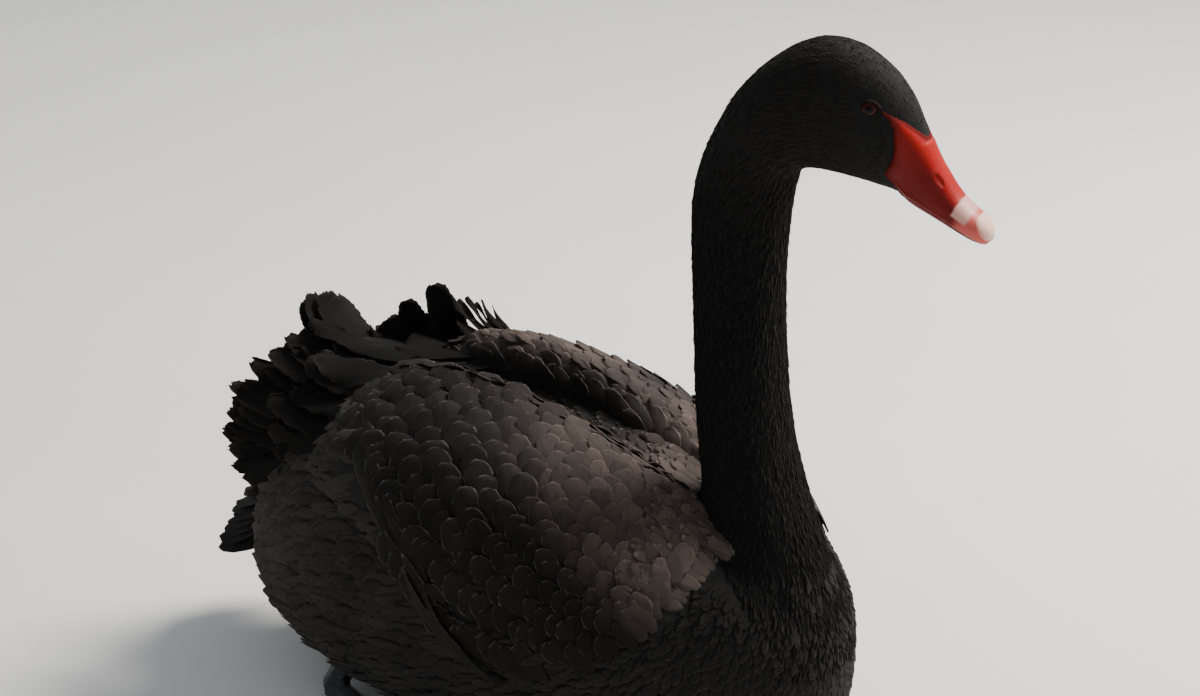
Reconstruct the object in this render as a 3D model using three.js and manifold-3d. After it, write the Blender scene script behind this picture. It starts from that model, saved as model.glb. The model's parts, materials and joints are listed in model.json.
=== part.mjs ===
// A black swan (Cygnus atratus) at life size, afloat in life and here sitting on its belly
// with the feet tucked under. Millimetres, +Z up. The bird faces -Y and its left side is +X.
// The origin is on the floor, in the middle of the flat of the belly.

import * as THREE from 'three';
import { mergeVertices } from 'three/addons/utils/BufferGeometryUtils.js';
import Module from 'manifold-3d';

const wasm = await Module();
wasm.setup();

// Driving dimensions, in millimetres and degrees
const GAP = 0.3;
const FLOOR_BLOCK = 900;
const BODY_SIDES = 24;
const BODY_RINGS = 20;
const NECK_SIDES = 20;
const BACK_ROUNDNESS = 2.35;
const BELLY_ROUNDNESS = 2.05;
const NECK_ROUNDNESS = 2.15;

// Torso from breast to rump: place along Y, height of the back, of the belly, half width
const TORSO = [
  [-213, 104, 80, 3],
  [-207, 130, 50, 30],
  [-186, 156, 20, 63],
  [-140, 182, 5, 98],
  [-74, 203, -2, 121],
  [-4, 212, -3, 128],
  [60, 213, -3, 125],
  [118, 205, 3, 115],
  [164, 187, 16, 96],
  [194, 163, 38, 68],
  [209, 138, 62, 38],
  [213, 112, 88, 3],
];

// Neck, head and bill in one run. Each station spans from the back of the neck or the crown
// to the throat or chin: distance ahead of the neck's axis and height of both, half width, turn
const NECK_AXIS_Y = -150;
const HEAD_TURN = 15;
const NECK = [
  [-70, 20, 26, 75, 50, 0],
  [-52, 62, 50, 95, 53, 0],
  [-36, 110, 58, 112, 49, 0],
  [-30, 145, 54, 140, 42, 0],
  [-28, 180, 43, 172, 36.5, 0],
  [-32, 212, 31, 205, 32.5, 0],
  [-36, 244, 22, 240, 29.5, 0],
  [-38, 276, 18, 274, 28.3, 0],
  [-39.5, 308, 16, 307, 27.8, 0],
  [-40.5, 340, 16.5, 340, 28.4, 3],
  [-40, 372, 19.5, 370, 29, 8],
  [-35, 397, 23, 388, 29, 12],
];
const HEAD = [
  [-25, 421, 27, 397, 28.5, HEAD_TURN],
  [-11, 444, 35, 399, 29, HEAD_TURN],
  [11, 464.5, 45, 397, 29, HEAD_TURN],
  [34, 475.5, 56, 394, 29, HEAD_TURN],
  [56, 474, 66, 391.5, 27.5, HEAD_TURN],
  [75.5, 462.5, 74, 389.5, 24.5, HEAD_TURN],
  [88.5, 448, 79, 388, 21, HEAD_TURN],
];
const BILL = [
  [96.5, 433, 83, 386.5, 17.5, HEAD_TURN],
  [100.5, 423, 89, 384.5, 15.8, HEAD_TURN],
  [105.5, 412.5, 96, 381.5, 14.6, HEAD_TURN],
  [112, 402, 103.5, 378, 13.6, HEAD_TURN],
  [119, 392.5, 111.5, 374.2, 13, HEAD_TURN],
  [127, 385.3, 119.5, 370.3, 12.8, HEAD_TURN],
  [133.5, 380.3, 127, 366.8, 11.4, HEAD_TURN],
  [138, 374.5, 134, 365, 7, HEAD_TURN],
  [138.6, 369.5, 137.6, 367.5, 1, HEAD_TURN],
];
const NECK_BASE_BACK = [-115, 196];
const NECK_BASE_FRONT = [-225, 118];
const NECK_CUTS = [252, 330];
const HEAD_CUT = [NECK[11][0], NECK[11][1], NECK[11][2], NECK[11][3]];

// Face: edge of the bare red skin from the eye to the gape and to the forehead,
// as distance ahead of the neck's axis and height
const RED_EDGE = [
  [100.1, 424.3],
  [78, 441.5],
  [81, 437.5],
  [84.2, 431],
  [85, 420],
  [82.5, 408],
  [79, 396.5],
  [76, 380],
  [120, 340],
  [170, 340],
  [160, 420],
];
const MOUTH_LINE = [
  [70, 398],
  [86, 391.5],
  [100, 385],
  [112, 379],
  [122, 373.5],
  [130, 368.5],
  [134.5, 362],
];
const MOUTH_GAP = 0.6;
const NAIL_FROM = [129.5, 388];
const NAIL_TO = [123.5, 362];
const NOSTRIL = [106.5, 401.5];
const NOSTRIL_ASIDE = 12.6;
const NOSTRIL_SIZE = [4.6, 1.7, 2.4];
const NOSTRIL_SLOPE = -54;
const EYE = [69.8, 442];
const EYE_ASIDE = 18.4;
const EYE_RADIUS = 6.2;
const LID_RADIUS = 5;
const LID_THICKNESS = 1.3;
const LID_ASIDE = 23;

// Wing: its place on the torso's own grid, from the shoulder back and from the spine down,
// how far it stands out from the body, and where its lower hem runs, in degrees
const WING_FROM = 0.25;
const WING_TO = 0.65;
const WING_TOP = 4;
const WING_ASIDE = 7;
const WING_SUNK = -4;
const WING_RISE = [2, 5.5, 12, 19.5, 25, 27, 24, 13];
const WING_HEM = [84, 93, 95, 91, 80, 68, 60, 50];

// Scapulars and coverts: rows that run back and down across the wing, at right angles to the
// way the feathers point, up from the level in front and more to the rear farther back. A
// feather stands up by its lift at the tip and rolls so that it lies over the one behind.
const COVERT_ROWS = [-18, 235];
const COVERT_STEP = 24.5;
const COVERT_RUN = 134;
const COVERT_PACES = 14;
const COVERT_BESIDE = [22, 26];
const COVERT_LEAN = [60, 40];
const COVERT_FROM = 0.262;
const COVERT_TO = 0.57;
const COVERT_TOP = 13;
const COVERT_HEM = [78, 87, 85, 72, 56];
const COVERT_LENGTH = [38, 46];
const COVERT_WIDTH = [30, 37];
const COVERT_LIFT = [4, 7];
const COVERT_ROLL = 5;
const COVERT_SUNK = 3;
const COVERT_THICKNESS = 1.6;
const WING_LENGTH = 426;
const WING_GIRTH = 2.16;

// Tertials: root, tip, how far the feather leans back from upright, bend and width.
// The first lies lowest on the flank; the last curls up beside the spine.
const TERTIALS = 10;
const TERTIALS_RIGHT = [
  [96, 78, 146, 80, 190, 128, 14, 10, 42],
  [92, 80, 170, 74, 208, 152, 24, 26, 46],
  [82, 82, 194, 68, 218, 178, 38, 36, 48],
  [66, 84, 212, 60, 212, 202, 54, 44, 48],
  [48, 88, 224, 50, 190, 226, 68, 36, 44],
  [30, 96, 228, 30, 170, 238, 84, 34, 36],
];
const TERTIALS_LEFT = [
  [96, 78, 146, 80, 190, 128, 14, 10, 42],
  [92, 80, 170, 72, 210, 152, 26, 30, 46],
  [78, 84, 200, 58, 220, 194, 46, 60, 48],
  [34, 104, 218, 32, 224, 240, 76, 84, 44],
  [40, 94, 224, 50, 166, 241, 82, 80, 34],
  [44, 76, 226, 62, 112, 251, 82, 76, 28],
];
const TERTIAL_THICKNESS = 1.8;
const TERTIAL_RIPPLE = 2.5;

// Tail: its core by place along Y, height, half width and half thickness, then its feathers,
// which hang like a roof to both sides
const TAIL = [
  [172, 126, 26, 12],
  [200, 113, 31, 12],
  [216, 104, 31, 9],
  [228, 97, 26, 4],
];
const RECTRICES = 8;
const TAIL_ROOT = [24, 192, 106];
const TAIL_TIP = [50, 247, 70];
const TAIL_PITCH = [20, 24];
const TAIL_ROUND = 20;
const TAIL_ROOF = 40;
const RECTRIX_WIDTH = 29;

// Legs, folded under the body: the toes lie forward and the shank back
const FOOT_X = 84;
const FOOT_Y = 62;
const TOES = [
  { length: 74, spread: -13, thickness: 8 },
  { length: 96, spread: 1, thickness: 9 },
  { length: 84, spread: 14, thickness: 8 },
];
const WEB_THICKNESS = 2.4;
const CLAW = 9;
const HEEL = [70, 130];
const SHANK = 7.5;
const LIMB_RINGS = 4;
const LIMB_SIDES = 6;

const COLOURS = {
  plumage: [0x17181a, 0.82],
  wing: [0x2c2926, 0.8],
  tail: [0x141416, 0.85],
  bill: [0xc8231c, 0.38],
  nail: [0xead2cc, 0.4],
  eye: [0x5a120c, 0.08],
  leg: [0x1b1b1d, 0.6],
};

const rad = THREE.MathUtils.degToRad;
const clamp = THREE.MathUtils.clamp;

// A table of stations read smoothly at any share from 0 to 1 of its length
function along(table, share) {
  const last = table.length - 1;
  const place = clamp(share, 0, 1) * last;
  const k = Math.min(Math.floor(place), last - 1);
  const f = place - k;
  const row = (i) => table[clamp(i, 0, last)];
  const slope = (i, c) => (row(i + 1)[c] - row(i - 1)[c]) / (i === 0 || i === last ? 1 : 2);
  return row(k).map((a, c) => {
    const b = row(k + 1)[c];
    const rise = slope(k, c) * (f ** 3 - 2 * f ** 2 + f) + slope(k + 1, c) * (f ** 3 - f ** 2);
    return a * (2 * f ** 3 - 3 * f ** 2 + 1) + b * (3 * f ** 2 - 2 * f ** 3) + rise;
  });
}

const squared = (value, power) => Math.sign(value) * Math.abs(value) ** power;

// A point of the torso at a share of its length and an angle from the spine round its left
function torsoPoint(share, angle, grow = 0, rise = grow) {
  const [y, top, bottom, half] = along(TORSO, share);
  const power = 2 / (Math.cos(angle) > 0 ? BACK_ROUNDNESS : BELLY_ROUNDNESS);
  const x = (half + grow) * squared(Math.sin(angle), power);
  const z = (top + bottom) / 2 + ((top - bottom) / 2 + rise) * squared(Math.cos(angle), power);
  return new THREE.Vector3(x, y, z);
}

// The head's own axes: ahead, up and to the bird's right
function headFrame(turn) {
  const ahead = new THREE.Vector3(Math.sin(rad(turn)), -Math.cos(rad(turn)), 0);
  const up = new THREE.Vector3(0, 0, 1);
  return new THREE.Matrix4()
    .makeBasis(ahead, up, new THREE.Vector3().crossVectors(ahead, up))
    .setPosition(0, NECK_AXIS_Y, 0);
}

function headPlace(ahead, up, aside, turn = HEAD_TURN) {
  return new THREE.Vector3(ahead, up, aside).applyMatrix4(headFrame(turn));
}

function neckPoint(share, angle, grow = 0) {
  const [backA, backZ, frontA, frontZ, half, turn] = along([...NECK, ...HEAD, ...BILL], share);
  const power = 2 / NECK_ROUNDNESS;
  const depth = Math.hypot(backA - frontA, backZ - frontZ);
  const reach = squared(Math.cos(angle), power) * (0.5 + grow / depth);
  return headPlace(
    (backA + frontA) / 2 + (backA - frontA) * reach,
    (backZ + frontZ) / 2 + (backZ - frontZ) * reach,
    -(half + grow) * squared(Math.sin(angle), power),
    turn,
  );
}

// A closed body through rings of points, each end closed by a fan
function loft(rings) {
  const sides = rings[0].length;
  const points = rings.flat();
  const faces = [];
  rings.slice(1).forEach((_, r) => {
    for (let i = 0; i < sides; i += 1) {
      const a = r * sides + i;
      const b = r * sides + ((i + 1) % sides);
      faces.push(a, b, a + sides, b, b + sides, a + sides);
    }
  });
  [0, rings.length - 1].forEach((r) => {
    const middle = rings[r].reduce((sum, p) => sum.add(p), new THREE.Vector3()).divideScalar(sides);
    points.push(middle);
    for (let i = 0; i < sides; i += 1) {
      const a = r * sides + i;
      const b = r * sides + ((i + 1) % sides);
      faces.push(...(r === 0 ? [b, a] : [a, b]), points.length - 1);
    }
  });
  const geometry = new THREE.BufferGeometry().setFromPoints(points);
  geometry.setIndex(faces);
  return geometry;
}

// Geometry as an exact solid, turned the right way out
function solid(geometry, matrix = null) {
  const bare = geometry.clone();
  bare.deleteAttribute('normal');
  bare.deleteAttribute('uv');
  if (matrix) bare.applyMatrix4(matrix);
  const merged = mergeVertices(bare, 1e-4);
  const place = merged.attributes.position;
  const faces = Array.from(merged.index.array);
  const corner = (i) => new THREE.Vector3().fromBufferAttribute(place, i);
  let volume = 0;
  for (let i = 0; i < faces.length; i += 3) {
    volume += corner(faces[i]).dot(corner(faces[i + 1]).cross(corner(faces[i + 2])));
  }
  if (volume < 0) faces.reverse();
  return new wasm.Manifold(new wasm.Mesh({
    numProp: 3,
    vertProperties: new Float32Array(place.array),
    triVerts: new Uint32Array(faces),
  }));
}

const join = (...solids) => solids.reduce((sum, piece) => sum.add(piece));

function largest(piece) {
  return piece.decompose().sort((a, b) => b.volume() - a.volume())[0];
}

// The part of a solid below or behind (side 1), or above or ahead (side -1), of a plane
// through two points of the bird's middle, each given as Y and height
function trim(piece, from, to, side, slack = GAP / 2) {
  const normal = new THREE.Vector3(0, side * (from[1] - to[1]), side * (to[0] - from[0]));
  normal.normalize();
  const offset = normal.y * from[0] + normal.z * from[1] + slack;
  return piece.trimByPlane([0, normal.y, normal.z], offset);
}

function node(name, piece, [colour, roughness]) {
  const { vertProperties, triVerts } = largest(piece).getMesh();
  const geometry = new THREE.BufferGeometry();
  geometry.setAttribute('position', new THREE.BufferAttribute(vertProperties, 3));
  geometry.setIndex(new THREE.BufferAttribute(triVerts, 1));
  geometry.computeVertexNormals();
  const material = new THREE.MeshStandardMaterial({ color: colour, roughness, metalness: 0 });
  const mesh = new THREE.Mesh(geometry, material);
  mesh.name = name;
  return mesh;
}

const turns = (count) => Array.from({ length: count }, (_, i) => (i / count) * 2 * Math.PI);
const shares = (count, from = 0, to = 1) => (
  Array.from({ length: count + 1 }, (_, i) => from + ((to - from) * i) / count)
);

function torsoSolid(grow) {
  const rings = shares(BODY_RINGS).map((share) => (
    turns(BODY_SIDES).map((angle) => torsoPoint(share, angle, grow))
  ));
  return solid(loft(rings));
}

// Neck, head and bill in one piece; the rings are closer where the head bends
function neckSolid(grow) {
  const stations = NECK.length + HEAD.length + BILL.length - 1;
  const places = shares(stations * 2).filter((_, i) => i % 2 === 0 || i > NECK.length * 2 - 6);
  return solid(loft(places.map((share) => (
    turns(NECK_SIDES).map((angle) => neckPoint(share, angle, grow))
  ))));
}

const floor = solid(
  new THREE.BoxGeometry(FLOOR_BLOCK, FLOOR_BLOCK, FLOOR_BLOCK),
  new THREE.Matrix4().setPosition(0, 0, -FLOOR_BLOCK / 2),
);

// A slice across the head whose outline is seen from the side
function acrossHead(outline, width = 120) {
  const shape = new THREE.Shape(outline.map(([ahead, up]) => new THREE.Vector2(ahead, up)));
  const block = new THREE.ExtrudeGeometry(shape, { depth: width, bevelEnabled: false });
  block.translate(0, 0, -width / 2);
  return solid(block, headFrame(HEAD_TURN));
}

// An outline with every edge moved outwards
function outset(outline, distance) {
  const points = outline.map(([x, y]) => new THREE.Vector2(x, y));
  const out = Math.sign(THREE.ShapeUtils.area(points)) * distance;
  const normal = (from, to) => new THREE.Vector2(to.y - from.y, from.x - to.x).normalize();
  return points.map((point, i) => {
    const before = normal(points.at(i - 1), point);
    const after = normal(point, points[(i + 1) % points.length]);
    const reach = out / (1 + before.dot(after));
    return before.add(after).multiplyScalar(reach).add(point).toArray();
  });
}

function mouthSlit() {
  const above = MOUTH_LINE.map(([a, z]) => [a, z + MOUTH_GAP / 2]);
  const below = MOUTH_LINE.map(([a, z]) => [a, z - MOUTH_GAP / 2]).reverse();
  return acrossHead([...above, ...below]);
}

function atHead(geometry, ahead, up, aside) {
  return solid(geometry, new THREE.Matrix4().setPosition(ahead, up, aside).premultiply(
    headFrame(HEAD_TURN),
  ));
}

function eyeBall(side, radius) {
  const ball = new THREE.SphereGeometry(radius, 12, 8);
  return atHead(ball, EYE[0], EYE[1], -side * EYE_ASIDE);
}

function lids(side) {
  const ring = new THREE.TorusGeometry(LID_RADIUS, LID_THICKNESS, 5, 12);
  return atHead(ring, EYE[0], EYE[1], -side * LID_ASIDE);
}

function nostril(side) {
  const hollow = new THREE.SphereGeometry(1, 8, 6).scale(...NOSTRIL_SIZE);
  hollow.rotateZ(rad(NOSTRIL_SLOPE));
  return atHead(hollow, NOSTRIL[0], NOSTRIL[1], -side * NOSTRIL_ASIDE);
}

// How far the wing stands out: nought at its border and full a little way in
const swell = (inset, band) => Math.sqrt(1 - (1 - clamp(inset / band, 0, 1)) ** 2);

// A point of the wing; beyond its border it can go on at full height
function wingPoint(share, angle, side, beyond = false) {
  const place = (share - WING_FROM) / (WING_TO - WING_FROM);
  const [rise] = along(WING_RISE.map((r) => [r]), place);
  const over = swell(angle - WING_TOP, 12) * swell(wingHem(share) - angle, 14);
  const full = over * swell(share - WING_FROM, 0.07) * swell(WING_TO - share, 0.06);
  const point = torsoPoint(
    share,
    rad(angle),
    THREE.MathUtils.lerp(WING_SUNK, WING_ASIDE, beyond ? 1 : full),
    THREE.MathUtils.lerp(WING_SUNK, rise, beyond ? 1 : full),
  );
  return point.setX(point.x * side);
}

function wingHem(share) {
  const [hem] = along(WING_HEM.map((h) => [h]), (share - WING_FROM) / (WING_TO - WING_FROM));
  return hem;
}

function wingCore(side) {
  const rings = shares(10, WING_FROM, WING_TO).map((share) => {
    const hem = wingHem(share);
    const outer = shares(10, WING_TOP, hem).map((angle) => wingPoint(share, angle, side));
    const inner = shares(5, hem, WING_TOP).map((angle) => {
      const point = torsoPoint(share, rad(angle), 3 * WING_SUNK);
      return point.setX(point.x * side);
    });
    return [...outer, ...inner];
  });
  return solid(loft(rings));
}

// Half width of a feather along it, as a share of its greatest
const featherOutline = (v, rootShare) => (
  THREE.MathUtils.lerp(rootShare, 1, Math.min(1, v / 0.5))
  * Math.sqrt(1 - clamp((v - 0.6) / 0.41, 0, 1) ** 2.2)
);

// One feather as a thin closed blade from root to tip, bent towards its outer face on the way
// and rolled about its run. Both faces are split into the same triangles.
function feather({
  root, tip, out, width, bend = 0, roll = 0, camber = 0.06, thickness = 1.6, ripple = 0,
  rootShare = 0.5, steps = 4, spans = 2,
}) {
  const chord = tip.clone().sub(root);
  const aside = new THREE.Vector3().crossVectors(chord, out).normalize();
  const turned = (v) => chord.clone().applyAxisAngle(aside, rad(bend) * v ** 1.5);
  const line = shares(steps).slice(1).reduce((points, v) => (
    [...points, points.at(-1).clone().addScaledVector(turned(v), 1 / steps)]
  ), [new THREE.Vector3()]);
  const fit = new THREE.Quaternion().setFromUnitVectors(
    line.at(-1).clone().normalize(),
    chord.clone().normalize(),
  );
  const scale = chord.length() / line.at(-1).length();
  const top = [];
  const bottom = [];
  shares(steps).forEach((v, i) => {
    const run = turned(v).applyQuaternion(fit).normalize();
    const across = aside.clone().applyAxisAngle(run, rad(roll) * Math.min(1, 2 * v));
    const face = new THREE.Vector3().crossVectors(across, run).normalize();
    const middle = line[i].clone().applyQuaternion(fit).multiplyScalar(scale).add(root);
    const half = (width / 2) * featherOutline(v, rootShare);
    const thick = THREE.MathUtils.lerp(thickness, 0.6, v) / 2;
    shares(spans, -1, 1).forEach((s) => {
      const wave = ripple * Math.abs(s) * v * Math.sin(s * 2 + i * 2.3);
      const point = middle.clone()
        .addScaledVector(across, s * half)
        .addScaledVector(face, wave - camber * width * s * s * Math.min(1, 2 * v));
      top.push(point.clone().addScaledVector(face, thick));
      bottom.push(point.addScaledVector(face, -thick));
    });
  });
  return solid(sheet(top, bottom, steps, spans));
}

// A closed sheet between two grids of points that lie over each other
function sheet(top, bottom, steps, spans) {
  const across = spans + 1;
  const under = top.length;
  const faces = [];
  const quad = (a, b, c, d) => faces.push(a, b, c, a, c, d);
  for (let i = 0; i < steps; i += 1) {
    for (let j = 0; j < spans; j += 1) {
      const a = i * across + j;
      const c = a + across + 1;
      quad(a, a + 1, c, a + across);
      faces.push(under + a, under + c, under + a + 1, under + a, under + a + across, under + c);
    }
    const left = i * across;
    const right = left + spans;
    quad(left, left + across, under + left + across, under + left);
    quad(right, under + right, under + right + across, right + across);
  }
  for (let j = 0; j < spans; j += 1) {
    const last = steps * across + j;
    quad(j, under + j, under + j + 1, j + 1);
    quad(last, last + 1, under + last + 1, under + last);
  }
  const geometry = new THREE.BufferGeometry().setFromPoints([...top, ...bottom]);
  geometry.setIndex(faces);
  return geometry;
}

// A seeded draw from 0 to 1, the same on every run
function draws(seed) {
  let state = seed;
  return () => {
    state = (state * 16807) % 2147483647;
    return state / 2147483647;
  };
}

// Places on the wing from which the coverts grow: share, angle from the spine, lean, size
function covertPlaces() {
  const places = [];
  for (let level = COVERT_ROWS[0], row = 0; level < COVERT_ROWS[1]; row += 1) {
    let run = (row % 2) * COVERT_BESIDE[0] * -0.45;
    let height = level;
    for (let pace = 0; pace < COVERT_PACES; pace += 1) {
      const size = clamp(run / COVERT_RUN, 0, 1);
      const lean = rad(THREE.MathUtils.lerp(...COVERT_LEAN, size));
      const share = WING_FROM + run / WING_LENGTH;
      const angle = WING_HEM[0] - height / WING_GIRTH;
      const [hem] = along(COVERT_HEM.map((h) => [h]), size);
      if (share > COVERT_FROM && share < COVERT_TO && angle > COVERT_TOP && angle < hem) {
        places.push([share, angle, lean, size]);
      }
      const beside = THREE.MathUtils.lerp(...COVERT_BESIDE, size);
      run += beside * Math.sin(lean);
      height -= beside * Math.cos(lean);
    }
    level += COVERT_STEP;
  }
  return places;
}

// Scapulars and coverts lie up and back like tiles, each row over the next one's roots
function coverts(side) {
  const draw = draws(side > 0 ? 43 : 97);
  const across = (from, to) => to.clone().sub(from);
  return covertPlaces().map(([share, angle, lean, size]) => {
    const place = [share + (draw() - 0.5) * 0.006, angle + (draw() - 0.5) * 2];
    const on = (ds, da) => wingPoint(place[0] + ds, place[1] + da, side, true);
    const facing = (ds, da) => new THREE.Vector3().crossVectors(
      across(on(ds, da), on(ds, da + 1)),
      across(on(ds, da), on(ds + 0.01, da)),
    ).multiplyScalar(side).normalize();
    const root = on(0, 0);
    const out = facing(0, 0);
    const length = THREE.MathUtils.lerp(...COVERT_LENGTH, size) * (0.95 + draw() * 0.1);
    const turn = lean + rad((draw() - 0.5) * 8);
    const ds = (length * Math.cos(turn) * 0.01) / root.distanceTo(on(0.01, 0));
    const da = Math.max((-length * Math.sin(turn)) / root.distanceTo(on(0, 1)), 9 - place[1]);
    const tipOut = facing(ds, da);
    return feather({
      root: root.addScaledVector(out, -COVERT_SUNK),
      tip: on(ds, da).addScaledVector(tipOut, THREE.MathUtils.lerp(...COVERT_LIFT, size)),
      out,
      width: THREE.MathUtils.lerp(...COVERT_WIDTH, size),
      bend: -THREE.MathUtils.radToDeg(out.angleTo(tipOut)),
      roll: -side * COVERT_ROLL,
      thickness: COVERT_THICKNESS,
      rootShare: 0.6,
      steps: 3,
    });
  });
}

// Ruffled tertials fan over the rump, and the upper ones curl up at their tips
function tertials(side) {
  const draw = draws(side > 0 ? 23 : 61);
  return shares(TERTIALS - 1).map((share, i) => {
    const row = along(side < 0 ? TERTIALS_RIGHT : TERTIALS_LEFT, share);
    const [x, y, z, tipX, tipY, tipZ, lean, bend, width] = row;
    const under = (i % 2) * 5;
    return feather({
      root: new THREE.Vector3(side * (x - under), y, z),
      tip: new THREE.Vector3(side * (tipX - under), tipY - under * 1.6, tipZ),
      out: new THREE.Vector3(side * Math.cos(rad(lean)), 0, Math.sin(rad(lean))),
      width,
      bend: bend * (0.85 + draw() * 0.3),
      thickness: TERTIAL_THICKNESS,
      ripple: TERTIAL_RIPPLE,
      steps: 5,
    });
  });
}

function rectrices() {
  return shares(RECTRICES - 1, -1, 1).map((place) => {
    const fall = 1 - place ** 2;
    return feather({
      root: new THREE.Vector3(place * TAIL_ROOT[0], TAIL_ROOT[1], TAIL_ROOT[2] + fall * TAIL_PITCH[0]),
      tip: new THREE.Vector3(
        place * TAIL_TIP[0],
        TAIL_TIP[1] + fall * TAIL_ROUND,
        TAIL_TIP[2] + fall * TAIL_PITCH[1],
      ),
      out: new THREE.Vector3(Math.sin(rad(place * TAIL_ROOF)), 0.4, Math.cos(rad(place * TAIL_ROOF))),
      width: RECTRIX_WIDTH,
      bend: 8,
      camber: 0.06,
      thickness: 1.5,
      rootShare: 0.7,
    });
  });
}

function tailSolid() {
  const rings = shares(12).map((share) => {
    const [y, z, halfX, halfZ] = along(TAIL, share);
    return turns(20).map((angle) => new THREE.Vector3(
      halfX * squared(Math.sin(angle), 0.8),
      y,
      z + halfZ * Math.cos(angle),
    ));
  });
  return solid(loft(rings));
}

// A round limb through points with a radius each, never below the floor
function limb(points, radii) {
  const line = new THREE.CatmullRomCurve3(points);
  const rings = shares(LIMB_RINGS).map((share) => {
    const [radius] = along(radii.map((r) => [r]), share);
    const middle = line.getPoint(share);
    const run = line.getTangent(share);
    const aside = new THREE.Vector3(run.y, -run.x, 0).normalize();
    const up = new THREE.Vector3().crossVectors(aside, run);
    return turns(LIMB_SIDES).map((angle) => middle.clone()
      .addScaledVector(aside, radius * Math.sin(angle))
      .addScaledVector(up, radius * Math.cos(angle)));
  });
  return solid(loft(rings));
}

function foot(side) {
  const tips = [];
  const toes = TOES.map(({ length, spread, thickness }) => {
    const run = new THREE.Vector2(-Math.sin(rad(spread)), -Math.cos(rad(spread)));
    const at = (reach, height) => new THREE.Vector3(
      side * (FOOT_X - run.x * reach),
      FOOT_Y + run.y * reach,
      height,
    );
    tips.push(at(length * 0.94, 0));
    return limb(
      [at(-4, 5), at(length * 0.4, 4), at(length, 3), at(length + CLAW, 1)],
      [thickness / 2 + 1.5, thickness / 2, thickness / 2 - 1, 1],
    );
  });
  const web = new THREE.Shape([
    new THREE.Vector2(side * FOOT_X - 6, FOOT_Y),
    new THREE.Vector2(side * FOOT_X + 6, FOOT_Y),
    ...(side > 0 ? tips.slice().reverse() : tips).map((p) => new THREE.Vector2(p.x, p.y)),
  ]);
  const sheet = new THREE.ExtrudeGeometry(web, { depth: WEB_THICKNESS, bevelEnabled: false });
  return join(...toes, solid(sheet)).subtract(floor);
}

function leg(side) {
  const ankle = new THREE.Vector3(side * FOOT_X, FOOT_Y + 9, SHANK - 0.5);
  const heel = new THREE.Vector3(side * HEEL[0], HEEL[1], SHANK + 1);
  const shin = new THREE.Vector3(side * (HEEL[0] - 4), HEEL[1] - 14, 34);
  const shank = limb([ankle, ankle.clone().lerp(heel, 0.5), heel], [6, 6, 8.5]);
  return join(shank, limb([heel, heel.clone().lerp(shin, 0.5), shin], [8.5, 8.5, 9]))
    .subtract(floor);
}

const torsoRoom = torsoSolid(GAP);
const neck = neckSolid(0);
const fleshRoom = join(torsoRoom, neckSolid(GAP));
const whole = join(torsoSolid(0), neck).subtract(floor);
const headCutBack = [NECK_AXIS_Y - HEAD_CUT[0], HEAD_CUT[1]];
const headCutFront = [NECK_AXIS_Y - HEAD_CUT[2], HEAD_CUT[3]];

const group = new THREE.Group();
const add = (name, piece, finish) => group.add(node(name, piece, finish));

add('torso', trim(whole, NECK_BASE_BACK, NECK_BASE_FRONT, 1), COLOURS.plumage);
const bodyAhead = trim(whole, NECK_BASE_BACK, NECK_BASE_FRONT, -1);
const levels = NECK_CUTS.map((z) => [[0, z], [-1, z]]);
add('neck_lower', trim(bodyAhead, ...levels[0], 1), COLOURS.plumage);
add('neck_middle', trim(trim(neck, ...levels[0], -1), ...levels[1], 1), COLOURS.plumage);
add('neck_upper', trim(trim(neck, ...levels[1], -1), headCutBack, headCutFront, 1), COLOURS.plumage);

const sockets = join(eyeBall(1, EYE_RADIUS + GAP), eyeBall(-1, EYE_RADIUS + GAP));
const headAndBill = trim(neck, headCutBack, headCutFront, -1);
const face = join(headAndBill, lids(1), lids(-1)).subtract(sockets);
add('head', face.subtract(acrossHead(outset(RED_EDGE, GAP))), COLOURS.plumage);

const red = face.intersect(acrossHead(RED_EDGE)).subtract(mouthSlit());
const [upper, lower] = red.decompose().sort((a, b) => b.volume() - a.volume());
const nailBlock = acrossHead([NAIL_FROM, [160, 400], [160, 340], NAIL_TO]);
const nailRoom = acrossHead([
  [NAIL_FROM[0] - GAP, NAIL_FROM[1]],
  [160, 400],
  [160, 340],
  [NAIL_TO[0] - GAP, NAIL_TO[1]],
]);
const nostrils = join(nostril(1), nostril(-1));
add('bill_upper', upper.subtract(nailRoom).subtract(nostrils), COLOURS.bill);
add('bill_nail', upper.intersect(nailBlock), COLOURS.nail);
add('bill_lower', lower, COLOURS.bill);

[['right', -1], ['left', 1]].forEach(([word, side]) => {
  add(`eye_${word}`, eyeBall(side, EYE_RADIUS), COLOURS.eye);
  const wing = join(
    wingCore(side),
    ...coverts(side),
    ...tertials(side),
  );
  add(`wing_${word}`, wing.subtract(fleshRoom), COLOURS.wing);
  add(`leg_${word}`, leg(side).subtract(torsoRoom).subtract(foot(side)), COLOURS.leg);
  add(`foot_${word}`, foot(side).subtract(torsoRoom), COLOURS.leg);
});
add('tail', join(tailSolid(), ...rectrices()).subtract(fleshRoom), COLOURS.tail);

export default group;
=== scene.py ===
"""A black swan sitting on its belly: skin, bill, eyes, feet and a full coat of feathers.

Metres, +Z up. The bird faces -Y and its left side is +X. Tables of shape are in millimetres.
"""

import json
import math

import bpy
import numpy as np
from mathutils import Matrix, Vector
from mathutils.bvhtree import BVHTree

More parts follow.
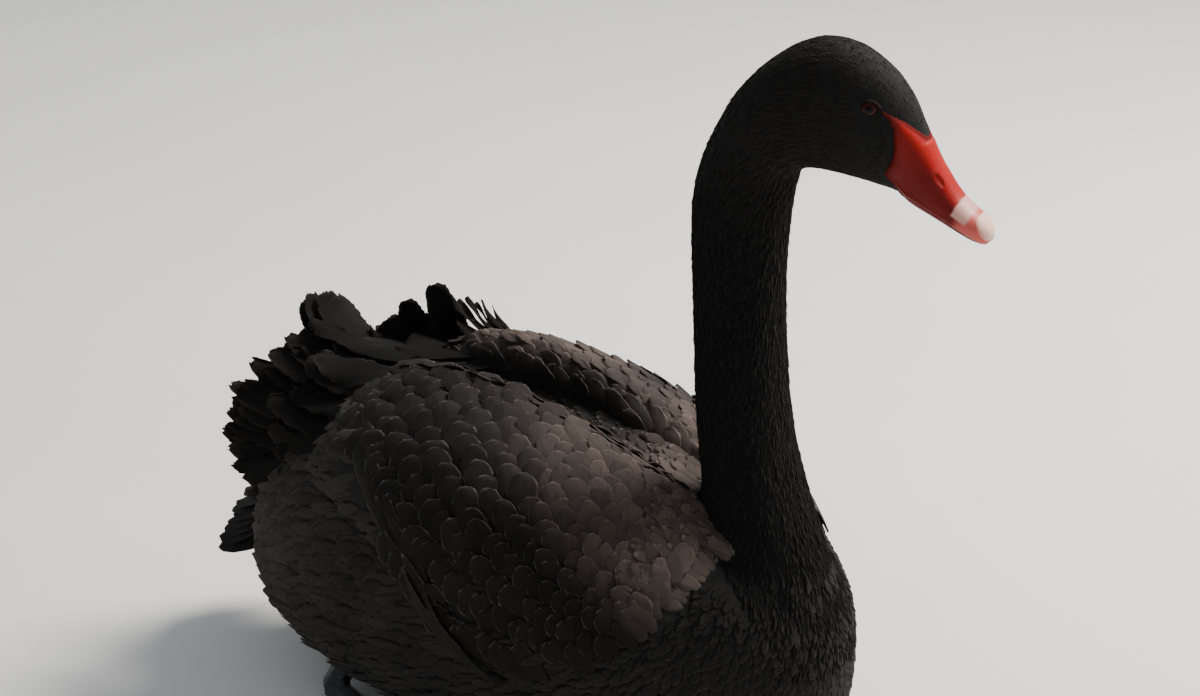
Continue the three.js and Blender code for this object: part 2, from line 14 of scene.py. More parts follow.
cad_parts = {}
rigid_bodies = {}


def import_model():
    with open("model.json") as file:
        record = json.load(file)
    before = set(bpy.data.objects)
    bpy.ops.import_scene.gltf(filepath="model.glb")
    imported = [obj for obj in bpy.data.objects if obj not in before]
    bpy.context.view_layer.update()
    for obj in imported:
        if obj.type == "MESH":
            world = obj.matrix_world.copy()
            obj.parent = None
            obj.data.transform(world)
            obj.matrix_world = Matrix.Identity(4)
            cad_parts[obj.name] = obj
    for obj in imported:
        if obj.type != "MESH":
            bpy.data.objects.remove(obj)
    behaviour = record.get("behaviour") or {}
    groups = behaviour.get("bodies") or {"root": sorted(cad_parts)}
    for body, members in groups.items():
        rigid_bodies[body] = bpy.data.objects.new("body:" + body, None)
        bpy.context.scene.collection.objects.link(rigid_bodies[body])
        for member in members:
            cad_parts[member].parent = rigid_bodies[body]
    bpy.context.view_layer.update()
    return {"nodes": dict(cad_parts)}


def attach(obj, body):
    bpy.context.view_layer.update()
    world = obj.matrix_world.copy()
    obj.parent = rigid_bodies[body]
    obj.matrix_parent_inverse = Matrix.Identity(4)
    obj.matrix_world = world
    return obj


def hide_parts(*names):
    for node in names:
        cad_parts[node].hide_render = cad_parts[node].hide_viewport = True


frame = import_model()

bl_info = {
    "name": "Black swan",
    "version": (1, 0, 0),
    "blender": (4, 5, 0),
    "location": "3D View > Sidebar > Swan",
    "description": "Builds a black swan with its skin, bill, eyes, feet and feather coat",
    "category": "Add Mesh",
}

MM = 0.001
BACK_ROUNDNESS = 2.35
BELLY_ROUNDNESS = 2.05
NECK_ROUNDNESS = 2.15

# Torso from breast to rump: place along Y, height of the back, of the belly, half width
TORSO = [
    [-213, 104, 80, 3],
    [-207, 130, 50, 30],
    [-186, 156, 20, 63],
    [-140, 182, 5, 98],
    [-74, 203, -2, 121],
    [-4, 212, -3, 128],
    [60, 213, -3, 125],
    [118, 205, 3, 115],
    [164, 187, 16, 96],
    [194, 163, 38, 68],
    [209, 138, 62, 38],
    [213, 112, 88, 3],
]

# Neck, head and bill: back or crown and throat or chin, as distance ahead of the neck's
# axis and height, then half width and turn of the head
NECK_AXIS_Y = -150
HEAD_TURN = 15
NECK = [
    [-70, 20, 26, 75, 50, 0],
    [-52, 62, 50, 95, 53, 0],
    [-36, 110, 58, 112, 49, 0],
    [-30, 145, 54, 140, 42, 0],
    [-28, 180, 43, 172, 36.5, 0],
    [-32, 212, 31, 205, 32.5, 0],
    [-36, 244, 22, 240, 29.5, 0],
    [-38, 276, 18, 274, 28.3, 0],
    [-39.5, 308, 16, 307, 27.8, 0],
    [-40.5, 340, 16.5, 340, 28.4, 3],
    [-40, 372, 19.5, 370, 29, 8],
    [-35, 397, 23, 388, 29, 12],
    [-25, 421, 27, 397, 28.5, 15],
    [-11, 444, 35, 399, 29, 15],
    [11, 464.5, 45, 397.8, 29, 15],
    [34, 475.5, 56, 395.8, 29, 15],
    [56, 474, 66, 393.7, 27.5, 15],
    [75.5, 462.5, 74, 391.8, 24.5, 15],
    [88.5, 448, 79, 390.1, 21, 15],
    [96.5, 433, 83, 388, 17.5, 15],
    [100.5, 423, 89, 385.2, 15.8, 15],
    [105.5, 412.5, 96, 381.5, 14.6, 15],
    [112, 402, 103.5, 378, 13.6, 15],
    [119, 392.5, 111.5, 374.2, 13, 15],
    [127, 385.3, 119.5, 370.3, 12.8, 15],
    [133.5, 380.3, 127, 366.8, 11.4, 15],
    [138, 374.5, 134, 365, 7, 15],
    [138.6, 369.5, 137.6, 367.5, 1, 15],
]
STATIONS = len(NECK) - 1
BILL_START = 15.2 / STATIONS
NAIL_START = 24.6 / STATIONS
BILL_END = 0.9995
HEAD_BEGINS = (12, 15)
SKIN_INTO_BILL = 7.3
FACE_COAT_END = 20.4

# Face seen from the side, as distance ahead and height: outline of the bare red skin, line of
# the mouth, outline of the nail, then the nostril with half lengths and heights of its hole
# and lip, and the eye with how far its gaze turns ahead and down
RED_EDGE = [
    [100.1, 424.3],
    [96, 429],
    [89.2, 435.2],
    [78, 441.5],
    [76.5, 440],
    [81, 437],
    [84.0, 431],
    [85.0, 420],
    [83.9, 412],
    [80.8, 406.5],
    [79.0, 402.5],
    [83, 396.5],
    [86, 389],
    [88, 380],
    [120, 340],
    [170, 340],
    [160, 424.3],
]
MOUTH_LINE = [
    [70, 398],
    [86, 391.5],
    [100, 385],
    [112, 379],
    [122, 373.5],
    [130, 368.5],
    [136, 361],
]
NAIL_EDGE = [
    [125.2, 388.5],
    [160, 400],
    [160, 340],
    [138, 361],
    [134.2, 370.2],
    [129.9, 379.4],
    [126.9, 384],
]
NOSTRIL = (108.5, 401.5)
NOSTRIL_SLOPE = -54
NOSTRIL_HOLE = (4.4, 1.15)
NOSTRIL_LIP = (5.4, 2.2)
NOSTRIL_DEPTH = 1.1
NOSTRIL_RISE = 0.18
EYE = (69.8, 442.0)
EYE_ASIDE = 18.4
EYE_AHEAD = 0.22
EYE_DOWN = 0.02
EYE_RADIUS = 6.2

# Lids: half width and height of their opening, how far their corners are drawn out, and their
# section as reach from the eye's middle and height over it, or over the eyeball's own surface
LID_WIDE = 3.85
LID_TALL = 3.3
LID_CORNER = 0.75
LID_OVER_BALL = [[0.98, -0.4], [1.0, 0.35]]
LID_SECTION = [
    [1.06, 4.9],
    [1.14, 5.0],
    [1.28, 4.8],
    [1.42, 4.3],
    [1.55, 3.5],
    [1.58, 2.4],
    [1.4, 1.6],
    [1.2, 2.2],
]

# Wing on the torso's own grid, in shares of its length and degrees from the spine: how many
# millimetres a whole share and a degree are, where the core starts and ends, how far it stands
# out to the side and sinks at its edges, how high it rises and where it ends below
SHARE_LENGTH = 426
DEGREE_LENGTH = 2.16
WING_FROM = 0.25
WING_TO = 0.65
WING_TOP = 4
WING_ASIDE = 7
WING_SUNK = -4
WING_RISE = [2, 5.5, 12, 19.5, 25, 27, 24, 13]
WING_HEM = [84, 93, 95, 91, 80, 68, 60, 50]

# Where the coverts end at front, below and behind, as share and degrees, and the line along
# which the wing's long feathers lie at its rear edge
COVERT_EDGE = [
    [0.25, 0.27, 0.30, 0.332, 0.37, 0.41, 0.43, 0.453, 0.481, 0.514, 0.535, 0.579, 0.60],
    [62, 74, 84, 90, 94, 94, 90, 84, 76, 67, 58, 46, 30],
]
LONG_EDGE = [
    [0.400, 101],
    [0.426, 93],
    [0.450, 85],
    [0.479, 77],
    [0.510, 68],
    [0.536, 58],
    [0.572, 47],
    [0.598, 36],
    [0.612, 25],
    [0.618, 15],
]

# Pieces of the coat: marks between them, along Y in metres on the body and by station on the
# neck, and how deep the roots lie in metres
BODY_BANDS = [-1, -0.08, 0.06, 1]
NECK_BANDS = [0, 6.2, 8.6, 11, 13.2, 15.6, STATIONS]
ROOT_DEPTH_BODY = 0.0005
ROOT_DEPTH_NECK = 0.0003

# Where the feathers of the back between the wings end, as share and degrees
MANTLE_EDGE = [
    [0.2, 0.236, 0.25, 0.28, 0.31],
    [14, 14, 56, 56, 4],
]

# Tertials: root, tip, turn of the outer face from sideways at 0 to upwards at 90 degrees,
# bend and width
TERTIALS_RIGHT = [
    [96, 78, 146, 80, 190, 128, 14, 10, 42],
    [92, 80, 170, 74, 208, 152, 24, 26, 46],
    [82, 82, 194, 68, 218, 178, 38, 36, 48],
    [66, 84, 212, 60, 212, 202, 54, 44, 48],
    [48, 88, 224, 50, 190, 226, 68, 36, 44],
    [30, 96, 228, 30, 170, 238, 84, 34, 36],
]
TERTIALS_LEFT = [
    [96, 78, 146, 80, 190, 128, 14, 10, 42],
    [92, 80, 170, 72, 210, 152, 26, 30, 46],
    [84, 82, 190, 62, 218, 180, 38, 48, 48],
    [60, 90, 212, 44, 220, 206, 58, 60, 44],
    [34, 104, 216, 26, 212, 216, 80, 60, 40],
]
# Single feathers of the left wing that stand up over the rest: lobes, fringe and the layer
# they rise from, given as above
TERTIALS_CREST = [
    [22, 120, 204, 10, 236, 201, 76, 20, 34],
    [26, 116, 206, 16, 226, 212, 78, 24, 36],
    [26, 172, 202, 15, 222, 232, 70, 66, 32],
    [28, 168, 204, 20, 217, 238, 74, 70, 34],
    [31, 163, 206, 27, 209, 239, 78, 68, 34],
    [32, 158, 208, 31, 206, 236, 82, 62, 30],
    [26, 110, 206, 8, 200, 207, 74, 20, 36],
    [42, 140, 198, 44, 161, 237, 165, 10, 24],
    [44, 134, 196, 46, 151, 228, 160, 8, 27],
    [39, 150, 194, 41, 174, 222, 155, 14, 30],
    [34, 100, 214, 26, 172, 213, 80, 16, 34],
    [48, 122, 206, 50, 141, 251, 165, 10, 24],
    [50, 116, 204, 52, 130, 234, 160, 8, 22],
    [38, 92, 219, 36, 146, 220, 80, 14, 30],
    [50, 88, 224, 59, 131, 244, 72, 26, 5],
    [51, 84, 224, 62, 127, 241, 72, 22, 5],
    [52, 82, 225, 64, 122, 243, 72, 24, 5],
    [53, 78, 225, 67, 117, 239, 72, 20, 4],
    [54, 76, 226, 69, 114, 241, 72, 22, 5],
    [55, 72, 226, 73, 108, 237, 72, 20, 4],
    [46, 78, 222, 54, 120, 230, 78, 16, 16],
    [30, 86, 220, 2, 150, 219, 80, 10, 30],
    [34, 72, 222, 6, 134, 224, 80, 10, 28],
    [28, 62, 219, 2, 116, 221, 82, 10, 26],
    [20, 98, 210, -8, 158, 212, 84, 10, 30],
    [20, 84, 219, -2, 156, 221, 86, 12, 30],
    [28, 96, 218, 12, 168, 219, 84, 12, 32],
]

# Tail: core by place along Y, height, half width and half thickness
TAIL = [
    [172, 126, 26, 12],
    [200, 113, 31, 12],
    [216, 104, 31, 9],
    [228, 97, 26, 4],
]

# Tail feathers: outermost root and tip, and how much the middle ones start and end higher,
# reach further back and turn less to the side; then the width of one
TAIL_ROOT = (24, 192, 106)
TAIL_TIP = (50, 247, 70)
TAIL_PITCH = (20, 20)
TAIL_ROUND = 20
TAIL_ROOF = 32
TAIL_WIDTH = 29

# Baked map: size of a small feather's patch, in metres of the map
PATCH = 0.003
WING_PATCH = 0.02
TERTIAL_PATCH = 0.045
TAIL_PATCH = 0.05

# Size of the cells of legs and feet, and least heights over the floor, in metres
FOOT_GRAIN = 0.0011
FEATHER_ROOM = 0.0006
SKIN_ROOM = 0.001
FOOT_ROOM = 0.0004

# Small steps by which a surface's directions are found, and the guard of a division
SHARE_STEP = 0.001
TINY = 1e-12
FULL_TURN = 2 * np.pi

# How finely long feathers are made, their thickness in millimetres at root and tip, and the
# height of the shaft
QUILL = 0.25
WING_BLADE = {"rows": 12, "columns": 7, "thickness": (0.7, 0.3), "blunt": 2.3}
TERTIAL_BLADE = {"rows": 28, "thickness": (1.2, 0.35), "curl": 2.2}

# Camera and stage: the photograph's width and lens in its own pixels, then the place in metres
PHOTO_WIDTH = 1200
PHOTO_LENS = 2856
SENSOR = 36
CAMERA_AIM = (0.0435, -0.0033, 0.24)
CAMERA_DISTANCE = 1.8
CAMERA_ROUND = -53
CAMERA_ABOVE = 20
LIGHTS_AIM = (0, 0, 0.2)
FLOOR_REACH = 30


# Shapes
def along(table, share):
    """Rows of a table of stations, read smoothly at shares from 0 to 1 of its length."""
    table = np.asarray(table, float)
    if table.ndim == 1:
        table = table[:, None]
    last = len(table) - 1
    place = np.clip(np.asarray(share, float), 0, 1) * last
    k = np.minimum(np.floor(place).astype(int), last - 1)
    f = (place - k)[..., None]

    def row(i):
        return table[np.clip(i, 0, last)]

    def slope(i):
        ends = (i == 0) | (i == last)
        return (row(i + 1) - row(i - 1)) / np.where(ends, 1.0, 2.0)[..., None]

    rise = slope(k) * (f**3 - 2 * f**2 + f) + slope(k + 1) * (f**3 - f**2)
    return row(k) * (2 * f**3 - 3 * f**2 + 1) + row(k + 1) * (3 * f**2 - 2 * f**3) + rise


def squared(value, power):
    """A power that keeps its sign, for rings between an ellipse and a box."""
    return np.sign(value) * np.abs(value) ** power


def smooth(value, low, high):
    """A soft step from 0 at low to 1 at high."""
    t = np.clip((np.asarray(value, float) - low) / (high - low), 0, 1)
    return t * t * (3 - 2 * t)


def unit(vectors):
    """Vectors at a length of one."""
    return vectors / np.maximum(np.linalg.norm(vectors, axis=-1, keepdims=True), TINY)


def turned(vectors, axis, angle):
    """Vectors turned about unit axes by angles in radians."""
    angle = np.asarray(angle, float)[..., None]
    cos, sin = np.cos(angle), np.sin(angle)
    dot = (axis * vectors).sum(-1, keepdims=True)
    return vectors * cos + np.cross(axis, vectors) * sin + axis * dot * (1 - cos)


def turn_between(first, second):
    """Degrees between unit vectors."""
    return np.degrees(np.arccos(np.clip((first * second).sum(-1), -1, 1)))


def torso_point(share, angle, grow=0.0, rise=None):
    """A point of the torso at a share of its length and an angle from the spine."""
    share, angle = np.broadcast_arrays(np.asarray(share, float), np.asarray(angle, float))
    rise = grow if rise is None else rise
    y, top, bottom, half = np.moveaxis(along(TORSO, share), -1, 0)
    cos = np.cos(angle)
    power = 2 / np.where(cos > 0, BACK_ROUNDNESS, BELLY_ROUNDNESS)
    x = (half + grow) * squared(np.sin(angle), power)
    z = (top + bottom) / 2 + ((top - bottom) / 2 + rise) * squared(cos, power)
    return np.stack([x, y, z], -1) * MM


def head_place(ahead, up, aside, turn=HEAD_TURN):
    """A point by its distance ahead of the neck's axis, height and place to the right."""
    t = np.radians(turn)
    x = np.sin(t) * ahead - np.cos(t) * aside
    y = NECK_AXIS_Y - np.cos(t) * ahead - np.sin(t) * aside
    return np.stack(np.broadcast_arrays(x, y, up), -1) * MM


def head_axes():
    """The head's own directions ahead and to its right."""
    t = math.radians(HEAD_TURN)
    ahead = np.array([math.sin(t), -math.cos(t), 0.0])
    right = np.array([-math.cos(t), -math.sin(t), 0.0])
    return ahead, right


def side_view(share, angle):
    """Places of a ring of the head as seen from the side: distance ahead and height."""
    back_a, back_z, front_a, front_z, _, _ = along(NECK, np.array(share))
    reach = squared(np.cos(angle), 2 / NECK_ROUNDNESS) * 0.5
    ahead = (back_a + front_a) / 2 + (back_a - front_a) * reach
    up = (back_z + front_z) / 2 + (back_z - front_z) * reach
    return ahead, up


def neck_point(share, angle, grow=0.0):
    """A point of neck, head or bill at a share of their run and an angle from the back."""
    share, angle = np.broadcast_arrays(np.asarray(share, float), np.asarray(angle, float))
    back_a, back_z, front_a, front_z, half, turn = np.moveaxis(along(NECK, share), -1, 0)
    power = 2 / NECK_ROUNDNESS
    depth = np.hypot(back_a - front_a, back_z - front_z)
    reach = squared(np.cos(angle), power) * (0.5 + grow / np.maximum(depth, 1e-6))
    return head_place(
        (back_a + front_a) / 2 + (back_a - front_a) * reach,
        (back_z + front_z) / 2 + (back_z - front_z) * reach,
        -(half + grow) * squared(np.sin(angle), power),
        turn,
    )


def swell(inset, band):
    """A quarter round from 0 at an edge to 1 at a band's width inside it."""
    return np.sqrt(np.maximum(1 - (1 - np.clip(inset / band, 0, 1)) ** 2, 0))


def wing_hem(share):
    """Degrees from the spine at which the wing's core ends below."""
    return along(WING_HEM, (share - WING_FROM) / (WING_TO - WING_FROM))[..., 0]


def covert_edge(share):
    """Degrees from the spine at which the coverts end below."""
    return np.interp(share, COVERT_EDGE[0], COVERT_EDGE[1])


def wing_point(share, degrees, side, beyond=False, grow=0.0):
    """A point of the wing's core; beyond its top and ends it can go on at full height."""
    share, degrees = np.broadcast_arrays(np.asarray(share, float), np.asarray(degrees, float))
    rise = along(WING_RISE, (share - WING_FROM) / (WING_TO - WING_FROM))[..., 0]
    if beyond:
        full = swell(np.maximum(wing_hem(share) + 7, covert_edge(share) - 2) - degrees, 14)
    else:
        over = swell(degrees - WING_TOP, 12) * swell(wing_hem(share) - degrees, 14)
        full = over * swell(share - WING_FROM, 0.07) * swell(WING_TO - share, 0.06)
    point = torso_point(
        share,
        np.radians(degrees),
        WING_SUNK + (WING_ASIDE - WING_SUNK) * full + grow,
        WING_SUNK + (rise - WING_SUNK) * full + grow,
    )
    return point * [side, 1, 1]


def run_along(surface, share, angle):
    """How far a surface runs from a little before a share to a little after it."""
    return surface(share + SHARE_STEP, angle) - surface(share - SHARE_STEP, angle)


# Meshes
def mesh_object(name, points, faces, material=None, flat=None):
    """A new object in the scene from points and faces of three or four corners."""
    mesh = bpy.data.meshes.new(name)
    points = np.asarray(points, np.float32).reshape(-1, 3)
    sizes = np.array([len(f) for f in faces], np.int32) if isinstance(faces, list) else None
    if sizes is None:
        faces = np.asarray(faces, np.int32)
        sizes = np.full(len(faces), faces.shape[1], np.int32)
        corners = faces.ravel()
    else:
        corners = np.concatenate([np.asarray(f, np.int32) for f in faces])
    mesh.vertices.add(len(points))
    mesh.vertices.foreach_set("co", points.ravel())
    if len(sizes):
        mesh.loops.add(len(corners))
        mesh.loops.foreach_set("vertex_index", corners)
        mesh.polygons.add(len(sizes))
        starts = np.concatenate([[0], np.cumsum(sizes)[:-1]]).astype(np.int32)
        mesh.polygons.foreach_set("loop_start", starts)
        mesh.polygons.foreach_set("loop_total", sizes)
    mesh.update(calc_edges=True)
    mesh.validate()
    mesh.shade_smooth()
    if flat is not None:
        mark = mesh.attributes.new("sharp_face", "BOOLEAN", "FACE")
        mark.data.foreach_set("value", np.asarray(flat, bool))
    ob = bpy.data.objects.new(name, mesh)
    bpy.context.scene.collection.objects.link(ob)
    if material:
        mesh.materials.append(material)
    return ob


def loft(rings):
    """Points and faces of a closed body through rings of points."""
    rings = np.asarray(rings, float)
    count, sides = rings.shape[:2]
    points = rings.reshape(-1, 3)
    a = np.arange(count - 1)[:, None] * sides + np.arange(sides)[None]
    b = np.arange(count - 1)[:, None] * sides + (np.arange(sides)[None] + 1) % sides
    faces = np.stack([a, b, b + sides, a + sides], -1).reshape(-1, 4).tolist()
    ends = [points[:sides].mean(0), points[-sides:].mean(0)]
    total = len(points)
    for i in range(sides):
        j = (i + 1) % sides
        faces.append([j, i, total])
        faces.append([total - sides + i, total - sides + j, total + 1])
    return np.vstack([points, ends]), faces


def outward(ob):
    """Turns every face of a closed object outwards."""
    bpy.context.view_layer.objects.active = ob
    for other in bpy.context.selected_objects:
        other.select_set(False)
    ob.select_set(True)
    bpy.ops.object.mode_set(mode="EDIT")
    bpy.ops.mesh.select_all(action="SELECT")
    bpy.ops.mesh.normals_make_consistent(inside=False)
    bpy.ops.object.mode_set(mode="OBJECT")
    ob.select_set(False)


def baked(ob):
    """The object with its modifiers turned into a plain mesh."""
    plain = bpy.data.meshes.new_from_object(
        ob.evaluated_get(bpy.context.evaluated_depsgraph_get())
    )
    ob.modifiers.clear()
    old = ob.data
    ob.data = plain
    bpy.data.meshes.remove(old)
    plain.name = ob.name
    return ob


def places_of(mesh):
    """Places of a mesh's vertices."""
    co = np.zeros(len(mesh.vertices) * 3)
    mesh.vertices.foreach_get("co", co)
    return co.reshape(-1, 3)


def keep_above(mesh, room):
    """Lifts vertices that lie nearer to the floor than they may."""
    co = places_of(mesh)
    co[:, 2] = np.maximum(co[:, 2], room)
    mesh.vertices.foreach_set("co", co.ravel())


def note(mesh, name, vectors):
    """Notes a vector of its own for each vertex, for materials and planting to read."""
    layer = mesh.attributes.new(name, "FLOAT_VECTOR", "POINT")
    layer.data.foreach_set("vector", np.asarray(vectors, np.float32).ravel())


def map_places(mesh, places):
    """Writes the map for baking from a place for each vertex."""
    corners = np.zeros(len(mesh.loops), np.int32)
    mesh.loops.foreach_get("vertex_index", corners)
    layer = mesh.uv_layers.new(name="OFBake")
    layer.data.foreach_set("uv", np.asarray(places)[corners].astype(np.float32).ravel())


def settle(ob, slot, *nodes):
    """Puts a finished piece on the body and hides the nodes it stands for; the slot is not used."""
    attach(ob, "root")
    if nodes:
        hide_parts(*nodes)
    return ob


def join_meshes(name, parts):
    """One object from lists of points and faces."""
    points, faces, start = [], [], 0
    for part_points, part_faces in parts:
        points.append(part_points)
        faces.extend([[i + start for i in face] for face in part_faces])
        start += len(part_points)
    return mesh_object(name, np.vstack(points), faces)


# Materials
def lay(tree, kind, values=None, **settings):
    """A new node with its settings, and values or links for its inputs."""
    made = tree.nodes.new(kind)
    for key, value in settings.items():
        setattr(made, key, value)
    for key, value in (values or {}).items():
        if isinstance(value, bpy.types.NodeSocket):
            tree.links.new(value, made.inputs[key])
        else:
            made.inputs[key].default_value = value
    return made


class Shade:
    """A material in the making: each call lays a shader node and gives its result."""

    def __init__(self, name):
        self.material = bpy.data.materials.new(name)
        self.material.use_nodes = True
        self.tree = self.material.node_tree
        self.surface = self.tree.nodes["Principled BSDF"]

    def node(self, kind, values=None, **settings):
        return lay(self.tree, kind, values, **settings)

    def math(self, operation, a, b=0.0):
        return self.node("ShaderNodeMath", {0: a, 1: b}, operation=operation).outputs[0]

    def ramp(self, value, low, high, start=0.0, end=1.0):
        """A soft step: start below low, end above high."""
        made = self.node(
            "ShaderNodeMapRange",
            {0: value, 1: low, 2: high, 3: start, 4: end},
            interpolation_type="SMOOTHSTEP",
        )
        return made.outputs[0]

    def mix(self, factor, a, b):
        """Between two colours, each a socket or three numbers."""
        values = {0: factor}
        for key, colour in ((6, a), (7, b)):
            values[key] = colour if isinstance(colour, bpy.types.NodeSocket) else (*colour, 1.0)
        return self.node("ShaderNodeMix", values, data_type="RGBA").outputs[2]

    def place(self):
        return self.node("ShaderNodeTexCoord").outputs["Object"]

    def noise(self, vector, scale, detail=3.0, rough=0.5):
        values = {"Vector": vector, "Scale": scale, "Detail": detail, "Roughness": rough}
        return self.node("ShaderNodeTexNoise", values).outputs[0]

    def split(self, vector):
        return self.node("ShaderNodeSeparateXYZ", {0: vector}).outputs

    def attribute(self, name):
        return self.node("ShaderNodeAttribute", attribute_name=name).outputs["Vector"]

    def bump(self, height, strength, distance):
        values = {"Height": height, "Strength": strength, "Distance": distance}
        made = self.node("ShaderNodeBump", values)
        self.tree.links.new(made.outputs[0], self.surface.inputs["Normal"])

    def finish(self, **values):
        """Sets or links the surface's inputs, whose spaces are underscores here."""
        for key, value in values.items():
            socket = self.surface.inputs[key.replace("_", " ")]
            if isinstance(value, bpy.types.NodeSocket):
                self.tree.links.new(value, socket)
            elif socket.type == "RGBA":
                socket.default_value = (*value, 1.0)
            else:
                socket.default_value = value
        return self.material


def feather_material(
    name,
    dark,
    pale,
    *,
    rim,
    barb,
    tone,
    rough,
    gloss,
    painted_light=0.0,
    crown=0.0,
    sheen=0.02,
    rear=1.0,
):
    """Plumage: dark vanes with a paler rim, fine barbs and tones that drift over the body.

    Painted light pales the wings where the key light falls, at their front, top and far side,
    and less in the shaded hollow at the spine; crown pales the head, and rear is the share of
    the tone that is left at the breast."""
    shade = Shade(name)
    s, v, dice = shade.split(shade.attribute("vane"))[:3]
    place = shade.place()
    drift = shade.ramp(shade.noise(place, 9.0, 2.0), 0.3, 0.7, 0.35, 1.0)
    reach = shade.math("ABSOLUTE", s)
    tip = shade.ramp(v, 0.935, 0.985)
    side = shade.math("MULTIPLY", shade.ramp(reach, 0.88, 0.98), shade.ramp(v, 0.30, 0.6))
    edge = shade.math("MAXIMUM", tip, side)
    speck = shade.noise(place, 420.0, 2.0)
    edge = shade.math("MULTIPLY", edge, shade.ramp(speck, 0.3, 0.65, 0.2, 1.0))
    edge = shade.math("MULTIPLY", edge, rim)
    quill = shade.ramp(reach, 0.0, 0.07, 1.0, 0.0)
    run = shade.math("SUBTRACT", v, shade.math("MULTIPLY", reach, 0.55))
    barbs_place = shade.node(
        "ShaderNodeCombineXYZ",
        {0: shade.math("MULTIPLY", run, 26.0), 1: s, 2: shade.math("MULTIPLY", dice, 40.0)},
    ).outputs[0]
    streak = shade.noise(barbs_place, 1.0, 3.0, 0.65)
    where = shade.split(place)
    tone = shade.ramp(where[1], -0.15, 0.06, tone * rear, tone)
    base = shade.mix(shade.math("MULTIPLY", drift, tone), dark, pale)
    glow = shade.math("MULTIPLY", shade.ramp(v, 0.45, 1.0), shade.ramp(streak, 0.3, 0.75, 0.1, 1.0))
    glow = shade.math("MULTIPLY", glow, 0.42 * rim)
    if crown:
        base = shade.mix(shade.ramp(where[2], 0.34, 0.44, 0.0, crown), base, pale)
        edge = shade.math("MULTIPLY", edge, shade.ramp(where[2], 0.05, 0.30))
    # Painted light: paler towards the wings' front and top and on the far wing, where the key light
    # falls, with brighter rims and tips there
    if painted_light:
        front = shade.math("SUBTRACT", where[2], shade.math("MULTIPLY", where[1], 0.75))
        far = shade.math("ADD", where[2], shade.math("MULTIPLY", where[0], 0.25))
        front = shade.math(
            "MAXIMUM", shade.ramp(front, 0.222, 0.280), shade.ramp(far, 0.226, 0.250, 0.0, 0.9)
        )
        # Painted shade: the paling is held back near the spine, in the shaded hollow between the
        # wings, but not at the breast
        breast = shade.math("MULTIPLY", shade.math("ADD", where[1], 0.02), -0.6)
        spine = shade.math("MAXIMUM", shade.math("ABSOLUTE", where[0]), breast)
        front = shade.math("MULTIPLY", front, shade.ramp(spine, 0.008, 0.045, 0.22, 1.0))
        glow = shade.math("MULTIPLY", glow, shade.ramp(front, 0.0, 1.0, 0.10, 0.8))
        edge = shade.math("MULTIPLY", edge, shade.ramp(front, 0.0, 1.0, 0.48, 1.0))
        front = shade.math("MULTIPLY", front, shade.ramp(streak, 0.2, 0.8, 0.5 * painted_light, painted_light))
        base = shade.mix(front, base, pale)
    base = shade.mix(glow, base, pale)
    base = shade.mix(edge, base, pale)
    bright = shade.node(
        "ShaderNodeHueSaturation",
        {"Color": base, "Value": shade.ramp(dice, 0.0, 1.0, 0.7, 1.3)},
    ).outputs[0]
    barbs = shade.math("SINE", shade.math("MULTIPLY", run, barb))
    height = shade.math("ADD", shade.math("MULTIPLY", barbs, 0.5), quill)
    shade.bump(height, 0.35, 0.0006)
    return shade.finish(
        Base_Color=bright,
        Roughness=rough,
        Specular_IOR_Level=gloss,
        Sheen_Weight=sheen,
        Sheen_Roughness=0.5,
    )


def wing_finish(colours):
    """The one finish shared by all the feathers of wings and mantle."""
    made = bpy.data.materials.get("swan_wing_feathers")
    if made:
        return made
    return feather_material(
        "swan_wing_feathers",
        colours.wing,
        colours.wing_rim_and_painted_light,
        rim=1.0,
        barb=260.0,
        tone=0.03,
        rough=0.66,
        gloss=0.10,
        # Painted light on the lit front, top and far side of the wings
        painted_light=0.58,
    )


def skin_material(colours):
    """The dark skin under the coat."""
    shade = Shade("swan_skin")
    place = shade.place()
    grain = shade.noise(place, 160.0, 4.0)
    paler = shade.ramp(grain, 0.3, 0.7, 0.0, 0.12)
    colour = shade.mix(paler, colours.plumage, colours.plumage_pale)
    shade.bump(grain, 0.5, 0.001)
    return shade.finish(Base_Color=colour, Roughness=0.85, Specular_IOR_Level=0.2)


